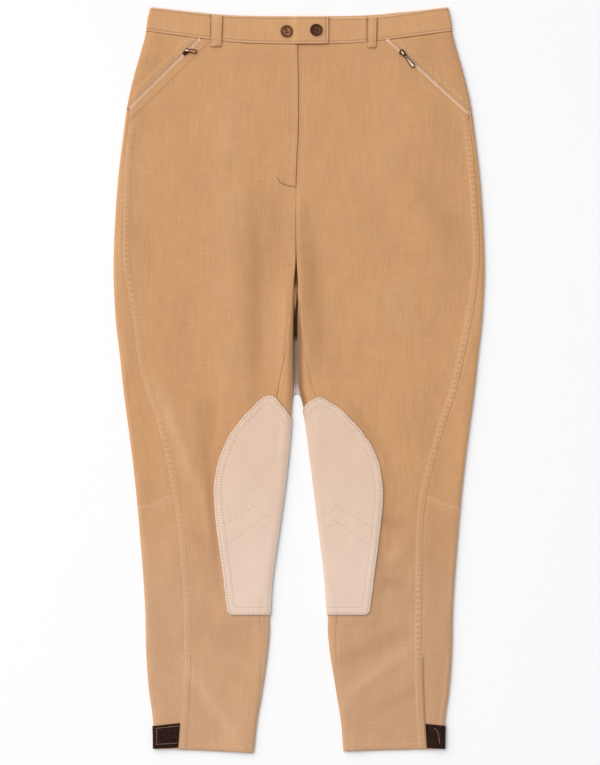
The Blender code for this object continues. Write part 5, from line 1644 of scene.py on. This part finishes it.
for side, name in SIDE_NAMES.items():
    shell = cloth_grid(f"front_loop_{name}", 22, 44, front_loop_shape(side), True, band_cotton)
    loop = cloth_piece(shell, BELT_LOOP_WALL, "band_twill", f"belt_loop_front_{name}")
    low_y, high_y = FRONT_LOOP_Y[side]
    loop_x = side * FRONT_LOOP_REACH[side]
    lines = []
    y = np.linspace(low_y + 1.0, high_y - 1.0, 40)
    _, half, lean = loop_place(side, y)
    for hand in (-1.0, 1.0):
        across = hand * (1.0 - LOOP_ROW / half)
        lines.append(with_tops(loop_x + half * across + lean, y, front_loop_top(side, across, y)))
    for tack in np.linspace(1.6, 3.0, 3):
        across = np.linspace(-0.6, 0.6, 10)
        z = front_loop_top(side, across, np.full(10, low_y + tack))
        lines.append(with_tops(loop_x + half[0] * across, low_y + tack, z))
    thread = stitches(f"front_loop_stitches_{name}", lines, tan_thread, "band_twill", length=2.0)

for name, loop_x in BACK_LOOPS_X.items():
    lower, upper = band_edges(RIGHT, np.array(loop_x), False)

    def back_loop_shape(u, v):
        across = lerp(-1.0, 1.0, u)
        y = lerp(float(lower) + 1.0, float(upper) - 0.5, v)
        ends = edge_roll(0.5 * BELT_LOOP_WIDTH * (1.0 - np.abs(across)))
        return loop_x + 0.5 * BELT_LOOP_WIDTH * across, y, 0.5 * ends

    shell = cloth_grid(f"back_loop_{name}", 18, 24, back_loop_shape, False, band_cotton)
    loop = cloth_piece(shell, BELT_LOOP_WALL, "band_twill", f"belt_loop_back_{name}")

# ---------------------------------------------------------------- buttons
# Two turned four-hole buttons of brown horn, sewn on with brown thread. One holds the fly end of the band
# and the other the tab.

BUTTON_RADIUS = 7.9
BUTTON_WALL = 2.6
BUTTON_HOLE_SPREAD = 1.75
BUTTON_HOLE_RADIUS = 0.85
BUTTON_PROFILE = (
    (0.0, 0.0), (6.2, 0.0), (7.2, 0.35), (7.75, 0.95), (BUTTON_RADIUS, 1.6), (7.7, 2.2), (7.1, BUTTON_WALL),
    (6.4, BUTTON_WALL), (5.8, 2.3), (5.3, 1.85), (4.3, 1.6), (2.2, 1.68), (0.0, 1.72),
)
SEWING_SPREAD = BUTTON_HOLE_SPREAD * 0.72
SEWING_LIFT = 1.62
Button = namedtuple("Button", "x y seat light dark")
BUTTONS = {
    "button_band": Button(-16.2, 452.9, BAND_HEIGHT, (0.36, 0.165, 0.066), (0.090, 0.030, 0.010)),
    "button_tab": Button(22.2, 454.4, TAB_HEIGHT, (0.150, 0.052, 0.019), (0.036, 0.010, 0.003)),
}


def horn_paint(name, button):
    """Streaked horn that is darker on the rim, by the distance from the button's middle."""
    paint = Paint(name, Specular_IOR_Level=0.16)
    place = paint.place()
    figure = paint.ramp(paint.noise(place, 260.0, 4.0, (1.0, 0.35, 1.0)), 0.35, 0.68)
    fine = paint.noise(place, 1400.0, 2.0)
    level = paint.node("ShaderNodeVectorMath", {"operation": "MULTIPLY"}, (place, (1.0, 1.0, 0.0)))
    middle = (button.x * MM, button.y * MM, 0.0)
    away = paint.node("ShaderNodeVectorMath", {"operation": "DISTANCE"}, (level, middle), "Value")
    rim = paint.ramp(away, 5.2 * MM, 6.0 * MM)
    colour = paint.blend(figure, button.dark, button.light)
    colour = paint.blend(rim * 0.75, colour, button.dark)
    return paint.finish(fine, 0.00003, Base_Color=colour, Roughness=0.30 + figure * 0.14)


brown_thread = thread_paint("brown_thread", (0.16, 0.075, 0.038), (0.06, 0.026, 0.014))

for name, button in BUTTONS.items():
    turned = bmesh.new()
    corners = [turned.verts.new((r * MM, 0.0, z * MM)) for r, z in BUTTON_PROFILE]
    edges = [turned.edges.new(pair) for pair in zip(corners, corners[1:])]
    full_turn = {"axis": (0, 0, 1), "cent": (0, 0, 0), "angle": math.tau, "steps": 48, "use_merge": True}
    bmesh.ops.spin(turned, geom=corners + edges, **full_turn)
    bmesh.ops.remove_doubles(turned, verts=turned.verts, dist=1e-6)
    bmesh.ops.recalc_face_normals(turned, faces=turned.faces)
    seat = Vector((button.x, button.y, button.seat + SEAM_GAP)) * MM
    bmesh.ops.translate(turned, vec=seat, verts=turned.verts)
    blank = put_down(f"{name}_blank", mesh_of(f"{name}_blank", turned))

    drills = bmesh.new()
    radius = BUTTON_HOLE_RADIUS * MM
    drill = {"cap_ends": True, "segments": 14, "radius1": radius, "radius2": radius, "depth": 12.0 * MM}
    for corner in range(4):
        quarter = Matrix.Rotation(0.25 * math.tau * (corner + 0.5), 4, "Z")
        spot = quarter @ Vector((BUTTON_HOLE_SPREAD * MM, 0.0, 0.0))
        bmesh.ops.create_cone(drills, matrix=Matrix.Translation(seat + spot), **drill)
    cutter = put_down("drills", mesh_of("drills", drills))
    holes = blank.modifiers.new("holes", "BOOLEAN")
    holes.object = cutter
    holes.solver = "EXACT"
    graph = bpy.context.evaluated_depsgraph_get()
    mesh = bpy.data.meshes.new_from_object(blank.evaluated_get(graph))
    bpy.data.objects.remove(blank)
    bpy.data.objects.remove(cutter)
    mesh.name = f"horn_{name}"
    mesh.materials.clear()
    mesh.materials.append(horn_paint(f"horn_{name}", button))
    smooth_but_sharp(mesh)
    add_piece(f"horn_{name}", mesh, "button_horn", name)

    lines = []
    run = np.linspace(-SEWING_SPREAD, SEWING_SPREAD, 5)
    z = button.seat + SEAM_GAP + SEWING_LIFT + 0.25 * np.cos(run / BUTTON_HOLE_SPREAD)
    for hand in (-1.0, 1.0):
        for bend in (-0.35, 0.35):
            y = button.y + hand * BUTTON_HOLE_SPREAD * 0.70 + bend
            lines.append(with_tops(button.x + run, y, z))
    sewing = {"pitch": 2.6, "length": 3.0, "width": 0.6, "rise": 0.6}
    stitches(f"sewing_{name}", lines, brown_thread, "button_horn", **sewing)

# ---------------------------------------------------------------- knee patches
# Soft brushed suede on the inside of each knee, wrapped round the inner fold and sewn on with a row of
# stitches at its edge and a second row further in. Two chevrons are stitched across the front.

PATCH_TOP = {
    RIGHT: table("share y", (
        (0.00, -50.5), (0.10, -39.0), (0.19, -31.0), (0.29, -22.2), (0.385, -19.4), (0.48, -22.0),
        (0.57, -28.6),
        (0.67, -37.7), (0.76, -45.5), (0.85, -55.6), (0.943, -66.3), (1.00, -74.5),
    )),
    LEFT: table("share y", (
        (0.00, -38.0), (0.096, -30.0), (0.207, -25.2), (0.31, -22.1), (0.407, -23.4), (0.497, -28.6),
        (0.588, -33.8), (0.678, -40.3), (0.755, -48.8), (0.843, -57.4), (0.929, -67.0), (1.00, -79.0),
    )),
}
PATCH_BOTTOM_Y = -305.5
PATCH_CORNER = 4.0
PATCH_ROWS = (2.9, 10.2)
PATCH_UNDER = 0.3
PATCH_SMOOTH_BACK = -8.0
CHEVRON_COLUMNS = "out_inset out_y tip_inset tip_y in_inset in_y"
CHEVRONS = {
    RIGHT: table(CHEVRON_COLUMNS, (
        (74.5, -189.0, 39.0, -163.8, 12.0, -182.6),
        (66.5, -212.2, 31.5, -184.6, 8.0, -201.6),
    )),
    LEFT: table(CHEVRON_COLUMNS, (
        (71.0, -192.4, 27.5, -163.8, 9.0, -176.8),
        (63.5, -215.2, 26.5, -184.0, 8.0, -191.6),
    )),
}
patch_top = {side: curve(PATCH_TOP[side], "share", "y") for side in (RIGHT, LEFT)}


def patch_outline(side):
    """The patch's edge on the front as (inset, y): along its top, down its side and in along its foot."""
    share = np.linspace(0.0, 1.0, 120)
    top_y = patch_top[side](share)
    down = np.linspace(top_y[-1], PATCH_BOTTOM_Y + PATCH_CORNER, 140)[1:]
    foot_width = float(patch_width[side](PATCH_BOTTOM_Y))
    angle = np.linspace(0.0, 0.5 * math.pi, 8)[1:]
    corner_inset = foot_width - PATCH_CORNER * (1.0 - np.cos(angle))
    corner_y = PATCH_BOTTOM_Y + PATCH_CORNER * (1.0 - np.sin(angle))
    foot = np.linspace(foot_width - PATCH_CORNER, 0.0, 50)[1:]
    inset = (share * patch_width[side](top_y), patch_width[side](down), corner_inset, foot)
    y = (top_y, down, corner_y, np.full(len(foot), PATCH_BOTTOM_Y))
    return np.stack((np.hstack(inset), np.hstack(y)), axis=1)


def drawn_in(outline, distance):
    """The outline moved inward, without the loops that a tight corner would make."""
    run = np.gradient(outline, axis=0)
    run /= np.linalg.norm(run, axis=1)[:, None]
    moved = outline + distance * np.stack((run[:, 1], -run[:, 0]), axis=1)
    return moved[(nearest(moved, outline) > distance - 0.05) & (moved[:, 0] > -0.5)]


def distance_to(line, inset, y):
    """Distance of each place from the nearest point of a line, in short runs to spare memory."""
    spots = np.stack((inset, y), axis=1)
    parts = [line[start:start + 40] for start in range(0, len(line), 40)]
    return np.minimum.reduce([nearest(spots, part) for part in parts])


def patch_lines(side):
    """The two rows round the patch and the chevrons, as (inset, y) points."""
    outline = patch_outline(side)
    lines = [drawn_in(outline, row) for row in PATCH_ROWS]
    for chevron in CHEVRONS[side]:
        tip = (chevron.tip_inset, chevron.tip_y)
        lines.append(np.linspace((chevron.out_inset, chevron.out_y), tip, 60))
        lines.append(np.linspace(tip, (chevron.in_inset, chevron.in_y), 60))
    return lines


def around_inner_fold(side, inset, y, lift):
    """Reach and height of a point lifted off the cloth, by its distance from the edge of the laid leg.

    An inset above 0 is on the front face and below 0 under the leg.
    """
    fold_reach, fold_wide, fold_high, fold_floor = inner_fold(side, y)
    edge = fold_wide + PATCH_LIFT
    turned = np.clip(inset, -edge, edge) / edge
    angle = np.sign(turned) * np.arccos(1.0 - np.abs(turned))
    bend_reach = fold_reach + fold_wide - (fold_wide + lift) * np.cos(angle)
    bend_z = fold_floor + fold_high + (fold_high + lift) * np.sin(angle)
    flat_reach = fold_reach + fold_wide + np.abs(inset) - edge
    over_reach, over_z = face(side, flat_reach, y, -lift)
    reach = np.where(inset > edge, over_reach, np.where(inset < -edge, flat_reach, bend_reach))
    return reach, np.where(inset > edge, over_z, np.where(inset < -edge, PATCH_LIFT - lift, bend_z))


def patch_lift(side, inset, y, lines):
    """How far the face of the patch stands off the cloth: rolled edge, grooves and quilted chevrons."""
    edge = distance_to(patch_outline(side), np.abs(inset), y)
    relief = -edge_roll(edge) * 0.9 + 0.16 * np.exp(-(((edge - 6.4) / 2.6) ** 2))
    for line_of in lines:
        relief += groove(distance_to(line_of, inset, y), 0.24, 0.95)
    along = y * 0.9 + np.abs(inset) * 0.6
    relief += 0.07 * puckers(along, 0.3) * between(edge, 12.0, 3.0)
    return PATCH_LIFT + relief


def patch_tone(side, inset, y, chevron_lines):
    """Painted shade between the legs, on the left patch's fold and beside the quilting lines, painted light
    on the right patch's fold, and a painted shadow along the cut edge.
    """
    from_edge = distance_to(patch_outline(side), np.abs(inset), y)
    tone = -0.5 * gap_shade(side, y) * between(inset, 7.0, 1.0) - 0.75 * between(from_edge, 0.7, 0.1)
    if side == LEFT:
        tone -= 0.06 * between(inset, 14.0, 2.0)
    else:
        tone += 0.75 * between(np.abs(inset), 3.2, 0.4)
    for line_of in chevron_lines:
        tone -= 0.07 * between(distance_to(line_of, inset, y - 1.0), 1.6, 0.4)
    return tone


def patch_shape(side):
    lines = patch_lines(side)

    def shape(u, v):
        share = np.where(u < PATCH_UNDER, u / PATCH_UNDER - 1.0, (u - PATCH_UNDER) / (1.0 - PATCH_UNDER))
        share = np.where(share > 0.0, 1.0 - (1.0 - np.abs(share)) ** 1.45, share)
        size = np.abs(share)
        foot = PATCH_BOTTOM_Y + PATCH_CORNER * between(size, 0.90, 1.0)
        y = lerp(foot, patch_top[side](size), crowded_ends(v, 0.45))
        inset = share * patch_width[side](y)
        lift = np.where(inset > PATCH_SMOOTH_BACK, patch_lift(side, inset, y, lines), PATCH_LIFT)
        reach, z = around_inner_fold(side, inset, y, lift)
        return side * reach, y, z, patch_tone(side, inset, y, lines[len(PATCH_ROWS):])

    return shape


def suede_paint():
    """Brushed suede: a short nap that lies in soft patches, with a fine grain; paler toward the foot."""
    nap_shine = {"Sheen_Weight": 0.35, "Sheen_Roughness": 0.4, "Specular_IOR_Level": 0.1}
    paint = Paint("knee_suede", Roughness=0.95, **nap_shine)
    place = paint.place()
    nap = paint.noise(place, 55.0, 4.0, (1.0, 1.6, 1.0))
    grain = paint.noise(place, 900.0, 3.0)
    fine = paint.noise(place, 300.0, 3.0)
    share = paint.ramp(nap * 0.30 + grain * 0.36 + fine * 0.34, 0.24, 0.76)
    low = paint.ramp(paint.part_of(place, "Y"), -0.08, -0.26)
    upper = paint.blend(share, (0.660, 0.465, 0.350), (0.735, 0.540, 0.420))
    lower = paint.blend(share, (0.690, 0.510, 0.402), (0.755, 0.578, 0.470))
    tone = paint.tone()
    # The tone paints light toward a pale cream and shade toward dark brown.
    colour = paint.blend(tone.math("MAXIMUM", 0.0), paint.blend(low, upper, lower), (0.95, 0.86, 0.78))
    colour = paint.blend((tone * -1.0).math("MAXIMUM", 0.0), colour, (0.26, 0.135, 0.085))
    return paint.finish(grain * 0.7 + fine * 0.5, 0.00009, Base_Color=colour, Roughness=0.90 + grain * 0.1)


suede = suede_paint()
cream_thread = thread_paint("cream_thread", (0.95, 0.84, 0.74), (0.80, 0.64, 0.52))
# Its holes are dark beads painted as the shade in the needle holes.
cream_thread["holes"] = thread_paint("suede_hole", (0.42, 0.24, 0.155), (0.33, 0.18, 0.11))
PatchSewing = namedtuple("PatchSewing", "name lines sink pitch length width hole")
PATCH_SEWING = (
    PatchSewing("patch_stitches", slice(0, 1), 0.16, 3.6, 2.0, 1.5, 1.5),
    PatchSewing("patch_second_row", slice(1, 2), 0.16, 3.3, 1.9, 1.2, 1.15),
    PatchSewing("patch_quilting", slice(2, None), 0.04, 2.6, 2.0, 1.3, 0.6),
)

for side, name in SIDE_NAMES.items():
    shell = cloth_grid(f"suede_patch_{name}", 130, 124, patch_shape(side), True, suede)
    patch = cloth_piece(shell, PATCH_WALL, "knee_suede", f"knee_patch_{name}")
    for kind in PATCH_SEWING:
        lines = []
        for line_of in patch_lines(side)[kind.lines]:
            inset, y = line_of.T
            depth = patch_lift(side, inset, y, ())
            feet = around_inner_fold(side, inset, y, depth - kind.sink)
            tops = around_inner_fold(side, inset, y, depth + 1.0)
            lines.append([np.stack((side * reach, y, z), axis=1) for reach, z in (feet, tops)])
        sewing = {"pitch": kind.pitch, "length": kind.length, "width": kind.width, "hole": kind.hole}
        stitches(f"{kind.name}_{name}", lines, cream_thread, "knee_suede", **sewing)

# ---------------------------------------------------------------- hem tabs
# A dark hook-and-loop strip closes each hem beside its slit. It lies on the calf piece, turns down over the
# outer fold, and is sewn on: round three sides on the right, by one curved line on the left.

HEM_TAB_HEIGHT = 31.0
HEM_TAB_WIDTH = 34.0
HEM_TAB_WALL = 1.5
HEM_TAB_TOP = SEAM_GAP + HEM_TAB_WALL
HEM_TAB_TILT = {RIGHT: 3.9, LEFT: 2.6}
HEM_TAB_START_ARC = 0.55 * math.pi * OUTER_WIDE


def nap_paint():
    """Dark brown hook-and-loop, its pile and tufts catching a little light."""
    nap_shine = {"Sheen_Weight": 0.08, "Sheen_Roughness": 0.5, "Specular_IOR_Level": 0.1}
    paint = Paint("hook_and_loop", Roughness=0.95, **nap_shine)
    pile = paint.noise(paint.place(), 800.0, 3.0)
    tufts = paint.noise(paint.place(), 320.0, 3.0)
    height = pile * 0.6 + tufts * 0.5
    share = paint.ramp(pile * 0.5 + tufts * 0.5, 0.35, 0.7)
    colour = paint.blend(share, (0.008, 0.002, 0.0015), (0.046, 0.018, 0.012))
    return paint.finish(height, 0.00035, Base_Color=colour)


napped_brown = nap_paint()
tab_thread = thread_paint("tab_thread", (0.56, 0.36, 0.25), (0.38, 0.23, 0.15))


def hem_tab_place(side, across, up, lift):
    """Point of the tab: across runs 0 at the outer fold to 1 at the slit, up from the hem in millimetres."""
    y = HEM_Y[side] + HEM_RISE[side] + up
    y = y + HEM_TAB_TILT[side] * (across - 0.5) * (0.45 + 0.55 * up / HEM_TAB_HEIGHT)
    end = fold_arc(outer_fold(y) - side_seam[side](y) - 1.0, OUTER_WIDE)
    stations = outer_station(side, y, lerp(HEM_TAB_START_ARC, end, across))
    reach, z = skin(side, y, stations, -lift)
    return side * reach, y, z


def hem_tab_shape(side):
    def shape(u, v):
        up = lerp(0.0, HEM_TAB_HEIGHT, v)
        from_ends = np.minimum(up, HEM_TAB_HEIGHT - up)
        edge = np.minimum(from_ends, HEM_TAB_WIDTH * np.minimum(u, 1.0 - u))
        return hem_tab_place(side, u, up, HEM_TAB_TOP - edge_roll(edge))

    return shape


def tab_routes(side):
    """Stitching of a hem tab, as (across, up): three sides on the right, one curved line on the left."""
    if side == RIGHT:
        corners = ((0.97, 27.4), (0.16, 27.4), (0.16, 6.0), (0.97, 6.0))
        return [np.linspace(start, end, 24) for start, end in zip(corners, corners[1:])]
    bend = np.linspace(0.0, 0.5 * math.pi, 24)
    return [np.stack((0.30 + 0.30 * (1.0 - np.cos(bend)), 7.0 + 19.5 * np.sin(bend)), axis=1)]


for side, name in SIDE_NAMES.items():
    shell = cloth_grid(f"closing_tab_{name}", 44, 36, hem_tab_shape(side), True, napped_brown)
    tab = cloth_piece(shell, HEM_TAB_WALL, "hook_and_loop", f"hem_tab_{name}")
    lines = []
    for route in tab_routes(side):
        across, up = route.T
        places = [hem_tab_place(side, across, up, HEM_TAB_TOP + lift) for lift in (0.0, 1.0)]
        lines.append([np.stack(place, axis=1) for place in places])
    sewing = {"pitch": 2.6, "length": 2.3, "width": 0.6}
    thread = stitches(f"tab_stitches_{name}", lines, tab_thread, "hook_and_loop", **sewing)

# ---------------------------------------------------------------- floor, light and camera
# The garment lies on a plain white table under a large soft light from the upper left, seen from straight
# above through a long lens.

PIXEL = 1.3
FRAME_HIGH = 765
FRAME_CENTRE = (1.3, -3.25)
LENS = 200.0
TABLE_HALF = 6.0
TABLE_WHITES = ((0.885, 0.885, 0.892), (0.89, 0.89, 0.897))
SKY_STRENGTH = 0.40

ground = bmesh.new()
bmesh.ops.create_grid(ground, x_segments=1, y_segments=1, size=TABLE_HALF)
table_top = put_down("table_top", mesh_of("table_top", ground))
table_wiring = Paint("table_white", Roughness=0.9, Specular_IOR_Level=0.1)
shade = table_wiring.noise(table_wiring.place(), 3.0)
table_top.data.materials.append(table_wiring.finish(Base_Color=table_wiring.blend(shade, *TABLE_WHITES)))


def lamp(kind, name, place, energy, **settings):
    """A lamp at a place in metres, turned to the middle of the table."""
    light = bpy.data.lights.new(name, kind)
    light.energy = energy
    for setting, value in settings.items():
        setattr(light, setting, value)
    made = put_down(name, light)
    made.location = place
    made.rotation_euler = (-Vector(place)).to_track_quat("-Z", "Y").to_euler()


lamp("SUN", "key_light", (-2.4, 2.0, 3.1), 2.42, angle=math.radians(75.0))
lamp("AREA", "side_light", (-1.6, 0.2, 2.6), 20.0, size=2.0)

world = bpy.data.worlds.new("studio")
world.use_nodes = True
sky = world.node_tree.nodes["Background"]
sky.inputs["Color"].default_value = (1.0, 1.0, 1.0, 1.0)
sky.inputs["Strength"].default_value = SKY_STRENGTH
bpy.context.scene.world = world
bpy.context.scene.view_settings.view_transform = "Standard"

lens = bpy.data.cameras.new("camera")
lens.lens = LENS
lens.clip_end = 50.0
camera = put_down("camera", lens)
distance = FRAME_HIGH * PIXEL * MM * LENS / lens.sensor_width
camera.location = (FRAME_CENTRE[0] * MM, FRAME_CENTRE[1] * MM, distance)
bpy.context.scene.camera = camera
